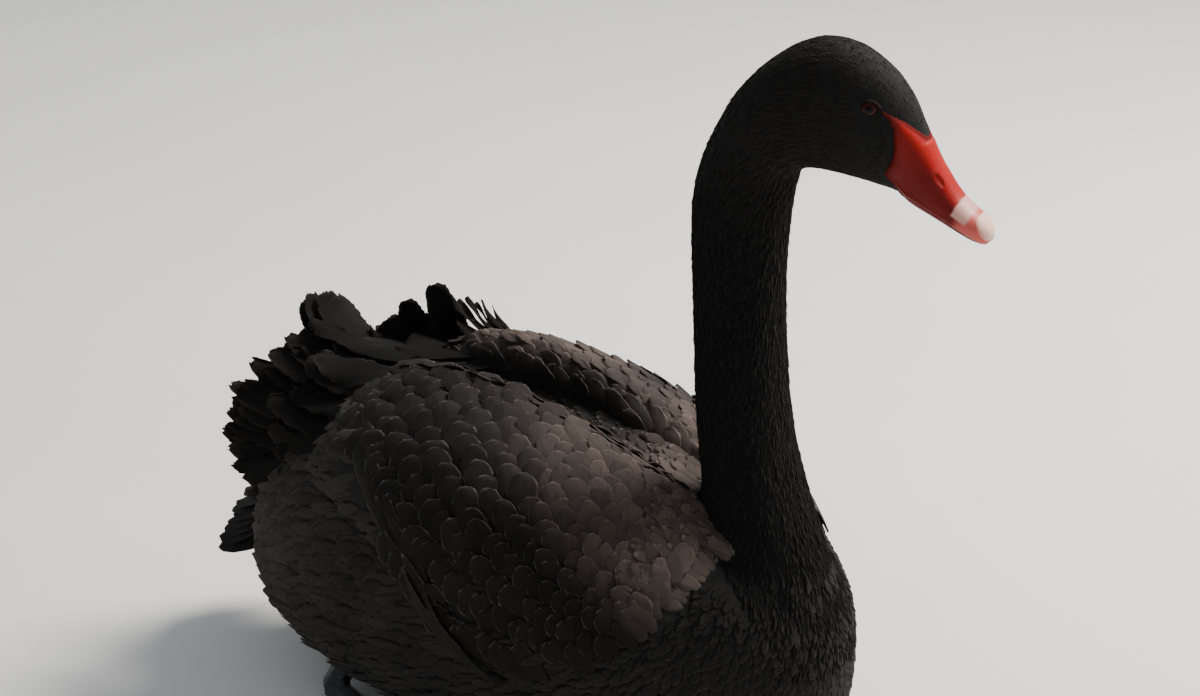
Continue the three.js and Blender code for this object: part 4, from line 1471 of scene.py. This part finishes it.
class SWAN_OT_eyes(bpy.types.Operator):
    """Red-ringed dark eyes set in the head, each under its lids"""

    bl_idname = "swan.eyes"
    bl_label = "Eyes"

    def execute(self, context):
        colours = context.scene.swan_colours
        shine = eye_material(colours)
        lid = lid_material(colours)
        ahead, right = head_axes()
        up = np.array([0.0, 0.0, 1.0])
        for word, side in (("right", 1), ("left", -1)):
            middle = head_place(*EYE, side * EYE_ASIDE)
            look = unit(side * right + EYE_AHEAD * ahead - EYE_DOWN * up)
            self.ball(f"eye_{word}", middle, look, up, shine)
            self.lids(f"lids_{word}", middle, look, up, side, lid)
        return {"FINISHED"}

    @staticmethod
    def ball(name, middle, look, up, material):
        """An eyeball that bulges a little in front and shrinks beyond the lids' opening."""
        across = unit(np.cross(up, look))
        above = np.cross(look, across)
        bow = np.linspace(0.02, np.pi - 0.02, 40)[:, None]
        turn = np.linspace(0, FULL_TURN, 49)[:-1][None]
        bulge = EYE_RADIUS * (1 - 0.3 * smooth(bow, 0.85, 1.25))
        bulge = (bulge + 0.35 * np.exp(-((bow / 0.5) ** 2)))[..., None] * MM
        sides = (np.sin(bow) * np.cos(turn))[..., None] * across
        rises = (np.sin(bow) * np.sin(turn))[..., None] * above
        fronts = (np.cos(bow) + 0 * turn)[..., None] * look
        points, faces = loft((sides + rises + fronts) * bulge + middle)
        ob = mesh_object(f"{name}_ball", points, faces)
        outward(ob)
        local = (points - middle) / (EYE_RADIUS * MM)
        spread = np.sqrt(np.maximum(1 - np.clip(local @ look, -1, 1) ** 2, 0))
        spread = np.where(local @ look < 0, 1.0, spread) / 0.82
        turn = np.arctan2(local @ above, local @ across) / np.pi
        note(ob.data, "disc", np.stack([spread, turn * 2, turn * 0], -1))
        ob.data.materials.append(material)
        settle(ob, "eye", name)

    @staticmethod
    def lids(name, middle, look, up, side, material):
        """A soft almond rim round the eye, pulled to a corner at the front and back."""
        across = unit(np.cross(up, look)) * side
        above = np.cross(look, across) * side
        turn = np.linspace(0, FULL_TURN, 73)[:-1]
        rings = []
        for a in turn:
            corner = abs(math.cos(a)) ** 6
            wide = (LID_WIDE + LID_CORNER * corner) * math.cos(a)
            tall = LID_TALL * math.sin(a) * (1 - 0.12 * corner)
            section = []
            for reach, over in LID_OVER_BALL:
                radius = math.hypot(wide, tall) * reach
                section.append([reach, math.sqrt(EYE_RADIUS**2 - radius**2) + over])
            section += LID_SECTION
            edge = across * wide + above * tall
            rings.append([middle + (edge * reach + look * high) * MM for reach, high in section])
        rings = np.array(rings)
        count, sides = rings.shape[:2]
        here = np.arange(count)[:, None] * sides
        over = (np.arange(count)[:, None] + 1) % count * sides
        a = np.arange(sides)[None]
        b = (a + 1) % sides
        faces = np.stack([here + a, here + b, over + b, over + a], -1).reshape(-1, 4)
        ob = mesh_object(name, rings.reshape(-1, 3), faces)
        outward(ob)
        ob.data.materials.append(material)
        settle(ob, "plumage")


class SWAN_OT_feet(bpy.types.Operator):
    """Black legs and webbed feet tucked under the body"""

    bl_idname = "swan.feet"
    bl_label = "Feet"

    def execute(self, context):
        finish = scute_material("swan_foot", context.scene.swan_colours.foot)
        for word in ("right", "left"):
            for part in ("leg", "foot"):
                node = f"{part}_{word}"
                ob = frame["nodes"][node].copy()
                ob.data = frame["nodes"][node].data.copy()
                ob.name = ob.data.name = f"{node}_skin"
                ob.parent = None
                for key in list(ob.keys()):
                    del ob[key]
                bpy.context.scene.collection.objects.link(ob)
                cells = ob.modifiers.new("cells", "REMESH")
                cells.mode, cells.voxel_size = "VOXEL", FOOT_GRAIN
                cells.use_smooth_shade = True
                soft = ob.modifiers.new("soft", "SMOOTH")
                soft.factor, soft.iterations = 0.5, 4
                baked(ob)
                keep_above(ob.data, FOOT_ROOM)
                ob.data.materials.clear()
                ob.data.materials.append(finish)
                settle(ob, "leg_skin", node)
        return {"FINISHED"}


class SWAN_OT_body_coat(bpy.types.Operator):
    """Rounded feathers over breast, back, flanks, belly and rump"""

    bl_idname = "swan.body_coat"
    bl_label = "Body coat"

    def execute(self, context):
        coat, colours = context.scene.swan_coat, context.scene.swan_colours
        dice = np.random.default_rng(7)
        finish = feather_material(
            "swan_body_feathers",
            colours.plumage,
            colours.plumage_pale,
            rim=0.35,
            barb=120.0,
            tone=1.0,
            rough=0.8,
            gloss=0.12,
            rear=0.1,
        )
        shape = {"rows": 5, "columns": 5, "count": 8, "width": 0.42, "height": 0.03, "fray": 0.55}
        group = tuft_shapes("body_shapes", dice, **shape)
        depth = -coat.depth_body / MM

        def surface(share, angle):
            return torso_point(share, angle, depth)

        def size_at(share):
            return coat.body_feather * (0.5 + 0.5 * float(smooth(share, 0.05, 0.5)))

        share, angle = rows_over(
            surface,
            0.006,
            0.994,
            lambda u: size_at(u) * 0.3,
            lambda u: size_at(u) * 0.34,
            dice,
        )
        points = surface(share, angle)
        for side in (-1, 1):
            more, degrees = self.behind_wing(dice)
            points = np.vstack([points, wing_point(more, degrees, side)])
            share = np.concatenate([share, more])
            angle = np.concatenate([angle, side * np.radians(degrees)])
        points, out, near = on_skin(points, reach=0.012)
        degrees = np.degrees(np.minimum(angle % FULL_TURN, FULL_TURN - angle % FULL_TURN))
        mantle = (share > 0.2) & (share < 0.6) & (degrees < np.interp(share, *MANTLE_EDGE))
        # Nothing grows under the coverts, which reach past their roots' edge, but the spine stays
        covered = (share > 0.275) & (share < 0.605) & (degrees < covert_edge(share) - 13)
        covered &= degrees > 3.5
        keep = near & ~covered & ~mantle & (points[:, 2] > 0.0015)
        self.mantle(share[mantle & near], angle[mantle & near], group, dice, colours)
        share, angle, points, out = share[keep], angle[keep], points[keep], out[keep]
        lie = laid(body_lie(points) + (dice.random(points.shape) - 0.5) * 0.3, out)
        loose = 0.06 + 0.12 * smooth(points[:, 1], -0.14, -0.06)
        tilt = 0.05 + dice.random(len(points)) ** 3 * loose  # few stand off far
        lie, out = raised(lie, out, tilt)
        length = np.array([size_at(u) for u in share]) * (0.85 + dice.random(len(share)) * 0.3)
        size = np.stack([length * (0.9 + dice.random(len(share)) * 0.2), length, length], -1)
        points = points - out * ROOT_DEPTH_BODY
        feathers = (points, out, lie, size, coat_map(share, angle, 0.02))
        plant_bands("coat_body", group, points[:, 1], BODY_BANDS, feathers, finish, 11)
        drop_shapes(group)
        return {"FINISHED"}

    @staticmethod
    def behind_wing(dice):
        """Extra places behind and below the coverts' edge, as share and degrees."""
        share, degrees = 0.555 + 0.105 * dice.random(420), 5 + 75 * dice.random(420)
        free = (share > 0.6) | (degrees > covert_edge(share) - 9)
        return share[free], degrees[free]

    @staticmethod
    def mantle(share, angle, group, dice, colours):
        """Feathers of the back between the wings, coloured as the wings are."""
        share = np.concatenate([share, share + 0.004])
        angle = np.concatenate([angle, angle + 0.02])
        points, out, _ = on_skin(torso_point(share, angle, -3), reach=0.05)
        lie = laid(np.array([[0, 1.0, 0.1]]) + (dice.random(points.shape) - 0.5) * 0.4, out)
        lie, out = raised(lie, out, 0.06 + dice.random(len(points)) * 0.12)
        length = 0.017 * (0.8 + dice.random(len(points)) * 0.4)
        uv = np.stack([0.3 + 0.4 * np.sin(angle), 0.02 + 0.46 * share], -1)
        size = np.stack([length * 1.3, length, length], -1)
        ob = plant("coat_mantle", group, points, out, lie, size, uv, wing_finish(colours), 17)
        settle(ob, "wing_plumage")


class SWAN_OT_neck_coat(bpy.types.Operator):
    """Short velvety feathers over neck and head, smallest on the face"""

    bl_idname = "swan.neck_coat"
    bl_label = "Neck and head coat"

    def execute(self, context):
        coat, colours = context.scene.swan_coat, context.scene.swan_colours
        dice = np.random.default_rng(19)
        finish = feather_material(
            "swan_neck_feathers",
            colours.plumage,
            colours.plumage_pale,
            rim=0.08,
            barb=60.0,
            tone=0.04,
            rough=0.85,
            gloss=0.05,
            crown=0.25,
        )
        shape = {"rows": 3, "columns": 3, "count": 6, "width": 0.34, "height": 0.09, "fray": 0.25}
        group = tuft_shapes("neck_shapes", dice, **shape)
        depth = -coat.depth_neck / MM

        def surface(share, angle):
            return neck_point(share, angle, depth)

        def size_at(share):
            station = share * STATIONS
            face = float(smooth(station, 12.5, 17.5))
            base = float(smooth(-station, -5.0, -2.0))
            return coat.neck_tuft * (1 - face) * (1 + 0.25 * base) + coat.face_tuft * face

        def closer(share):
            return float(smooth(share * STATIONS, *HEAD_BEGINS))

        share, angle = rows_over(
            surface,
            1.0 / STATIONS,
            FACE_COAT_END / STATIONS,
            lambda u: size_at(u) * (0.3 - 0.04 * closer(u)),
            lambda u: size_at(u) * (0.24 - 0.03 * closer(u)),
            dice,
        )
        red = np.full(len(share), -9.0)
        for i in np.nonzero(share * STATIONS > 15)[0]:
            red[i] = inside(share[i], angle[i : i + 1], RED_EDGE)[0]
        run = run_along(surface, share, angle)
        points, out, near = on_skin(surface(share, angle), reach=0.009)
        eye_gap = np.full(len(points), 1.0)
        for side in (1, -1):
            eye = head_place(*EYE, side * (EYE_ASIDE + 5.0))
            eye_gap = np.minimum(eye_gap, np.linalg.norm(points - eye, axis=1))
        keep = near & (red < -0.2) & (eye_gap > 0.0050)
        share, angle, red, eye_gap = share[keep], angle[keep], red[keep], eye_gap[keep]
        points, out, run = points[keep], out[keep], run[keep]
        run = run / np.linalg.norm(run, axis=1, keepdims=True)
        lie = laid((dice.random(points.shape) - 0.5) * 0.3 - run, out)
        stray = dice.random(len(points)) ** 6
        tilt = 0.03 + (0.2 - 0.14 * smooth(share * STATIONS, *HEAD_BEGINS)) * stray
        tilt = tilt + 0.08 * smooth(red, -4.0, -0.5)
        lie, out = raised(lie, out, tilt)
        length = np.array([size_at(u) for u in share]) * (0.8 + dice.random(len(share)) * 0.4)
        length *= 0.5 + 0.5 * smooth(np.minimum(-red, eye_gap * 1000 - 4.5), 0.0, 4.0)
        size = np.stack([length, length, length], -1)
        points = points - out * ROOT_DEPTH_NECK
        feathers = (points, out, lie, size, coat_map(share, angle, 0.52))
        plant_bands("coat_neck", group, share * STATIONS, NECK_BANDS, feathers, finish, 31)
        drop_shapes(group)
        return {"FINISHED"}


class SWAN_OT_wings(bpy.types.Operator):
    """Coverts in rows that sweep down and back, their tips up, and scapulars inside"""

    bl_idname = "swan.wings"
    bl_label = "Wings"

    def execute(self, context):
        colours = context.scene.swan_colours
        finish = wing_finish(colours)
        for word, side, seed in (("right", -1, 97), ("left", 1, 41)):
            dice = np.random.default_rng(seed)
            settle(self.coverts(f"coverts_{word}", side, dice, finish), "wing_plumage")
            settle(self.scapulars(f"scapulars_{word}", side, dice, finish), "wing_plumage")
        return {"FINISHED"}

    @staticmethod
    def places(dice):
        """Roots in rows across the feathers' own direction: share, angle, lean, spacing, beside.

        Run goes back along the wing and y up it, in millimetres. Rows fan out from the shoulder,
        where they lie closest, by the spread."""
        step, row_gap, waver, grown = 0.5, 11.6, 2.2, 0.54
        fan_from, fan_to = -10, 112
        run = np.linspace(-60, 180, 481)
        lean = np.radians(61 - 20 * smooth(run, 0, 130))
        fall = np.concatenate([[0], np.cumsum(step / np.tan(lean[1:]))])
        spread = 1 - grown + grown * smooth(run, fan_from, fan_to)
        beside = 8.2 + 6.6 * smooth(run, -5, fan_to)
        number = np.concatenate([[0], np.cumsum(step / (beside[1:] * np.sin(lean[1:])))])
        found = []
        for k in range(-22, 24):
            ticks = np.arange(0, int(number[-1]) + 1) + 0.5 * (k % 2)
            x = np.interp(ticks, number, run, left=-99, right=999)
            x = x + (dice.random(len(x)) - 0.5) * waver
            here = np.interp(x, run, spread)
            y = 180 + k * row_gap * here - np.interp(x, run, fall)
            y = y + (dice.random(len(x)) - 0.5) * waver * here
            share = WING_FROM + x / SHARE_LENGTH
            angle = 95 - y / DEGREE_LENGTH
            keep = (share > 0.254) & (share < 0.6) & (angle > 14) & (angle < covert_edge(share))
            fanned = (x > fan_from) & (x < fan_to)
            slope = np.interp(x, run, 1 / np.tan(lean))
            slope = slope - k * row_gap * grown / (fan_to - fan_from) * fanned
            tilt = np.arctan2(1.0, np.clip(slope, 0.2, 2.2))
            tilt = tilt * (0.35 + 0.65 * smooth(angle, 12, 40))
            size = row_gap * here * np.sin(np.interp(x, run, lean))
            row = [share, angle, tilt, size, np.interp(x, run, beside)]
            found.append(np.stack(row, -1)[keep])
        return np.concatenate(found)

    def coverts(self, name, side, dice, finish):
        """The rows of coverts, and two rows of long feathers along the wing's rear edge."""
        share, angle, tilt, size, beside = self.places(dice).T
        step_s, step_a = 0.01, 1.0
        long_at = np.concatenate([np.linspace(0, 0.72, 9), np.linspace(0.04, 0.7, 8)])
        start, end = along(LONG_EDGE, long_at), along(LONG_EDGE, long_at + 0.27)
        start[:, 0] -= 0.006
        end[:, 0] -= 0.008
        inner = np.repeat([0.0, 0.016], [9, 8])
        count = len(share) + len(long_at)
        short = np.arange(count) < len(share)
        share = np.concatenate([share, start[:, 0] - inner])
        angle = np.concatenate([angle, start[:, 1]])
        tilt = np.concatenate([tilt, 0 * inner])
        size = np.concatenate([size, 0 * inner + 12])
        beside = np.concatenate([beside, 0 * inner + 8])

        def on(ds, da):
            return wing_point(share + ds, angle + da, side, True)

        def facing(ds, da):
            here = on(ds, da)
            return unit(np.cross(on(ds, da + step_a) - here, on(ds + step_s, da) - here) * side)

        root, out = on(0, 0), facing(0, 0)
        back = (on(step_s, 0) - root) / step_s
        down = on(0, step_a) - root
        tilt = tilt + (dice.random(len(share)) - 0.5) * 0.24
        length = (size * 2.3 + 9) * (0.85 + dice.random(len(share)) * 0.3)
        ds = length * np.cos(tilt) * MM / np.linalg.norm(back, axis=1)
        da = -length * np.sin(tilt) * MM / np.linalg.norm(down, axis=1)
        da = np.maximum(da, 11 - angle)
        ds[~short], da[~short] = (end - start)[:, 0] + inner * 0.4, (end - start)[:, 1]
        tip, tip_out = on(ds, da), facing(ds, da)
        bend = -turn_between(out, tip_out)
        lift = (0.8 + 0.12 * size) * (0.5 + dice.random(len(share)) * 1.0)
        lift[~short] *= 0.3
        uv = np.stack([self.map_across(share), 0.03 + 0.94 * angle / 100], -1)
        return blades(
            name,
            root - out * (2.2 * MM),
            tip + tip_out * (lift * MM)[:, None],
            out,
            beside * 1.52 * MM * (0.86 + dice.random(len(share)) * 0.28),
            bend - 2 + dice.random(len(share)) * 8,
            -side * (2 + dice.random(len(share)) * 8),
            finish,
            uv,
            WING_PATCH,
            dice,
            **WING_BLADE,
            camber=0.07,
            ripple=0.0008,
            fray=0.06,
            root_share=0.3,
            split=0.12,
        )

    @staticmethod
    def map_across(share):
        """Place on the baked map across, from the wing's front to its rear."""
        return 0.03 + 0.94 * (share - WING_FROM) / (WING_TO - WING_FROM)

    def scapulars(self, name, side, dice, finish):
        """Soft feathers laid up the slope from the hollow to each wing's ridge."""
        climb = np.linspace(3.2, 30, 60)

        def slope(u):
            line = wing_point(np.full(60, u), climb, side)
            pieces = np.linalg.norm(np.diff(line, axis=0), axis=1)
            return np.concatenate([[0], np.cumsum(pieces)]) / MM

        rows = []
        u, k = WING_FROM + 0.012, 0
        while u < 0.592:
            size = float(smooth(u, 0.28, 0.5))
            arcs = slope(u)
            ridge = np.interp(15.5, climb, arcs)
            step = 5.0 + 3.2 * size
            a = 3.0 + step * 0.5 * (k % 2)
            while a < ridge - 9:
                arc = a + (dice.random() - 0.5) * 2
                here = u + (dice.random() - 0.5) * 0.008
                tilt = math.radians(56 - 30 * a / ridge + (dice.random() - 0.5) * 22)
                length = (13 + 13 * size) * (0.8 + dice.random() * 0.4)
                run = length * math.cos(tilt) / SHARE_LENGTH
                end = min(arc + length * math.sin(tilt), ridge - 8)
                tip = np.interp(end, slope(here + run), climb)
                rows.append((here, np.interp(arc, arcs, climb), here + run, tip, size))
                a += step
            u += (4.6 + 3.0 * size) / SHARE_LENGTH
            k += 1
        share, angle, tip_share, tip_angle, size = np.array(rows).T
        count = len(share)

        def place(u, degrees):
            here = wing_point(u, degrees, side)
            down = wing_point(u, degrees + 0.4, side) - here
            return here, unit(np.cross(down, wing_point(u + 0.004, degrees, side) - here) * side)

        root, out = place(share, angle)
        tip, tip_out = place(tip_share, tip_angle)
        bend = -turn_between(out, tip_out)
        lift = (0.7 + 0.7 * size) * (0.5 + dice.random(count))
        uv = np.stack([self.map_across(share), 0.5 + 0.3 * angle / 16], -1)
        return blades(
            name,
            root - out * (1.8 * MM),
            tip + tip_out * (lift * MM)[:, None],
            out,
            (10 + 7 * size) * MM * (0.85 + dice.random(count) * 0.3),
            np.maximum(bend, -25) + dice.random(count) * 8,
            -side * (-2 + dice.random(count) * 10),
            finish,
            uv,
            WING_PATCH,
            dice,
            **WING_BLADE,
            camber=0.08,
            ripple=0.001,
            fray=0.08,
            root_share=0.4,
            split=0.15,
        )


class SWAN_OT_tertials(bpy.types.Operator):
    """Ruffled tertials that fan over the rump and curl at their tips"""

    bl_idname = "swan.tertials"
    bl_label = "Tertials"

    def execute(self, context):
        colours = context.scene.swan_colours
        finish = feather_material(
            "swan_tertials",
            colours.tertial,
            colours.tertial_rim,
            rim=0.8,
            barb=650.0,
            tone=0.12,
            rough=0.75,
            gloss=0.05,
            sheen=0.01,
        )
        count = 46
        sides = (("right", -1, TERTIALS_RIGHT, 61), ("left", 1, TERTIALS_LEFT, 23))
        for word, side, table, seed in sides:
            if word == "left":
                self.crest(finish)
            dice = np.random.default_rng(seed)
            place = np.linspace(0, 1, count)
            row = along(table, place)
            layer = np.arange(count) % 3  # tall, middle and low feathers take turns
            under = np.array([4.0, 0.0, -2.5])[layer]
            reach = np.array([1.0, 0.97, 0.66])[layer]
            size = np.array([0.62, 0.46, 0.5])[layer]
            jitter = (dice.random((count, 6)) - 0.5) * [3, 8, 6, 6, 15, 9]
            root = np.stack([side * (row[:, 0] - under), row[:, 1], row[:, 2]], -1) + jitter[:, :3]
            tip = np.stack([side * (row[:, 3] - under), row[:, 4], row[:, 5]], -1)
            tip = root + (tip - root) * reach[:, None] + jitter[:, 3:]
            bend = row[:, 7] * (0.6 + dice.random(count))
            lean, width = np.radians(row[:, 6]), row[:, 8] * size
            out = np.stack([side * np.cos(lean), 0 * lean, np.sin(lean)], -1)
            uv = np.stack([0.1 + 0.8 * place, np.full(count, 0.3 if side < 0 else 0.7)], -1)
            ob = blades(
                f"tertials_{word}",
                root * MM,
                tip * MM,
                out,
                width * MM * (0.85 + dice.random(count) * 0.3),
                bend,
                (dice.random(count) - 0.5) * 30,
                finish,
                uv,
                TERTIAL_PATCH,
                dice,
                **TERTIAL_BLADE,
                columns=9,
                camber=0.06,
                ripple=0.0030,
                fray=0.12,
                root_share=0.5,
                blunt=2.0,
                split=0.25,
            )
            settle(ob, "wing_plumage", f"wing_{word}")
        return {"FINISHED"}

    @staticmethod
    def crest(finish):
        """Broad lobes and fine spikes that stand up where the left wing's ridge ends."""
        dice = np.random.default_rng(83)
        row = np.array(TERTIALS_CREST, float)
        count = len(row)
        lean = np.radians(row[:, 6])
        ob = blades(
            "tertials_crest",
            row[:, :3] * MM,
            row[:, 3:6] * MM,
            np.stack([np.cos(lean), 0 * lean, np.sin(lean)], -1),
            row[:, 8] * MM,
            row[:, 7],
            (dice.random(count) - 0.5) * 16,
            finish,
            np.stack([0.26 + 0.48 * np.linspace(0, 1, count), np.full(count, 0.9)], -1),
            TERTIAL_PATCH,
            dice,
            **TERTIAL_BLADE,
            columns=11,
            camber=0.10,
            ripple=0.0014,
            fray=0.07,
            root_share=0.7,
            blunt=3.4,
            split=0.06,
        )
        settle(ob, "wing_plumage")


class SWAN_OT_tail(bpy.types.Operator):
    """Short broad tail feathers that hang like a roof"""

    bl_idname = "swan.tail"
    bl_label = "Tail"

    def execute(self, context):
        colours = context.scene.swan_colours
        finish = feather_material(
            "swan_tail_feathers",
            colours.tertial,
            colours.tertial_rim,
            rim=0.5,
            barb=500.0,
            tone=0.15,
            rough=0.7,
            gloss=0.1,
        )
        dice = np.random.default_rng(5)
        count = 19
        place = np.linspace(-1, 1, count)
        fall = 1 - place**2
        root = np.stack(
            [
                place * TAIL_ROOT[0],
                0 * place + TAIL_ROOT[1],
                TAIL_ROOT[2] + fall * TAIL_PITCH[0],
            ],
            -1,
        )
        tip = np.stack(
            [
                place * TAIL_TIP[0],
                TAIL_TIP[1] + fall * TAIL_ROUND + (dice.random(count) - 0.6) * 9,
                TAIL_TIP[2] + fall * TAIL_PITCH[1],
            ],
            -1,
        )
        roof = np.radians(place * TAIL_ROOF)
        out = unit(np.stack([np.sin(roof), 0 * place + 0.4, np.cos(roof)], -1))
        uv = np.stack([0.1 + 0.8 * (place + 1) / 2, 0 * place + 0.5], -1)
        ob = blades(
            "tail_feathers",
            root * MM,
            tip * MM,
            out,
            np.full(count, TAIL_WIDTH * MM),
            8 + dice.random(count) * 12,
            (dice.random(count) - 0.5) * 16,
            finish,
            uv,
            TAIL_PATCH,
            dice,
            rows=16,
            columns=9,
            camber=0.06,
            thickness=(1.3, 0.4),
            ripple=0.0012,
            fray=0.05,
            root_share=0.7,
        )
        settle(ob, "tail_plumage", "tail")
        return {"FINISHED"}


class SWAN_OT_stage(bpy.types.Operator):
    """Pale floor, soft lights and the camera at the photograph's angle"""

    bl_idname = "swan.stage"
    bl_label = "Stage"

    def execute(self, context):
        studio = context.scene.swan_studio
        scene = context.scene
        floor = mesh_object(
            "floor",
            np.array([[-1, -1, 0], [1, -1, 0], [1, 1, 0], [-1, 1, 0]]) * FLOOR_REACH,
            np.array([[0, 1, 2, 3]]),
        )
        shade = Shade("studio_floor")
        grain = shade.noise(shade.place(), 3.0, 2.0)
        colour = shade.mix(shade.ramp(grain, 0.3, 0.7, 0.0, 0.06), studio.floor, (1.0, 1.0, 1.0))
        floor.data.materials.append(shade.finish(Base_Color=colour, Roughness=0.9))
        world = bpy.data.worlds.new("studio_sky")
        scene.world = world
        world.use_nodes = True
        sky = world.node_tree.nodes["Background"]
        sky.inputs[0].default_value = (0.93, 0.96, 1.0, 1.0)
        sky.inputs[1].default_value = studio.sky
        lights = (
            ("key", (1.5, -0.85, 2.25), 1.2, studio.key, (1.0, 0.975, 0.94)),
            ("fill", (-2.0, -2.4, 1.6), 2.0, studio.fill, (0.95, 0.97, 1.0)),
        )
        for name, place, size, power, colour in lights:
            lamp = bpy.data.lights.new(name, "AREA")
            lamp.shape, lamp.size, lamp.energy, lamp.color = "DISK", size, power, colour
            ob = bpy.data.objects.new(name, lamp)
            ob.location = place
            ob.rotation_mode = "QUATERNION"
            aim = Vector(LIGHTS_AIM) - Vector(place)
            ob.rotation_quaternion = aim.to_track_quat("-Z", "Y")
            scene.collection.objects.link(ob)
        camera = bpy.data.objects.new("camera", bpy.data.cameras.new("camera"))
        scene.collection.objects.link(camera)
        a, e = math.radians(CAMERA_ROUND), math.radians(CAMERA_ABOVE)
        back = Vector((math.sin(a) * math.cos(e), -math.cos(a) * math.cos(e), math.sin(e)))
        camera.location = Vector(CAMERA_AIM) + back * CAMERA_DISTANCE
        camera.rotation_mode = "QUATERNION"
        camera.rotation_quaternion = (-back).to_track_quat("-Z", "Y")
        camera.data.lens = PHOTO_LENS / PHOTO_WIDTH * SENSOR
        camera.data.sensor_width = SENSOR
        camera.data.clip_start, camera.data.clip_end = 0.05, 200
        scene.camera = camera
        return {"FINISHED"}


class SWAN_PT_panel(bpy.types.Panel):
    """Steps of the swan, in order"""

    bl_idname = "SWAN_PT_panel"
    bl_label = "Swan"
    bl_space_type = "VIEW_3D"
    bl_region_type = "UI"
    bl_category = "Swan"

    def draw(self, context):
        for step in STEPS:
            self.layout.operator(step.bl_idname)
        for group in ("swan_coat", "swan_colours", "swan_studio"):
            settings = getattr(context.scene, group)
            for key in settings.bl_rna.properties.keys():
                if key not in ("rna_type", "name"):
                    self.layout.prop(settings, key)


STEPS = (
    SWAN_OT_skin,
    SWAN_OT_bill,
    SWAN_OT_eyes,
    SWAN_OT_feet,
    SWAN_OT_body_coat,
    SWAN_OT_neck_coat,
    SWAN_OT_wings,
    SWAN_OT_tertials,
    SWAN_OT_tail,
    SWAN_OT_stage,
)
CLASSES = (SwanColours, SwanCoat, SwanStudio, *STEPS, SWAN_PT_panel)


def register():
    for kind in CLASSES:
        bpy.utils.register_class(kind)
    bpy.types.Scene.swan_colours = bpy.props.PointerProperty(type=SwanColours)
    bpy.types.Scene.swan_coat = bpy.props.PointerProperty(type=SwanCoat)
    bpy.types.Scene.swan_studio = bpy.props.PointerProperty(type=SwanStudio)


def unregister():
    del bpy.types.Scene.swan_studio
    del bpy.types.Scene.swan_coat
    del bpy.types.Scene.swan_colours
    for kind in reversed(CLASSES):
        bpy.utils.unregister_class(kind)


def main():
    register()
    bpy.ops.swan.skin()
    bpy.ops.swan.bill()
    bpy.ops.swan.eyes()
    bpy.ops.swan.feet()
    bpy.ops.swan.body_coat()
    bpy.ops.swan.neck_coat()
    bpy.ops.swan.wings()
    bpy.ops.swan.tertials()
    bpy.ops.swan.tail()
    bpy.ops.swan.stage()


if __name__ == "__main__":
    main()
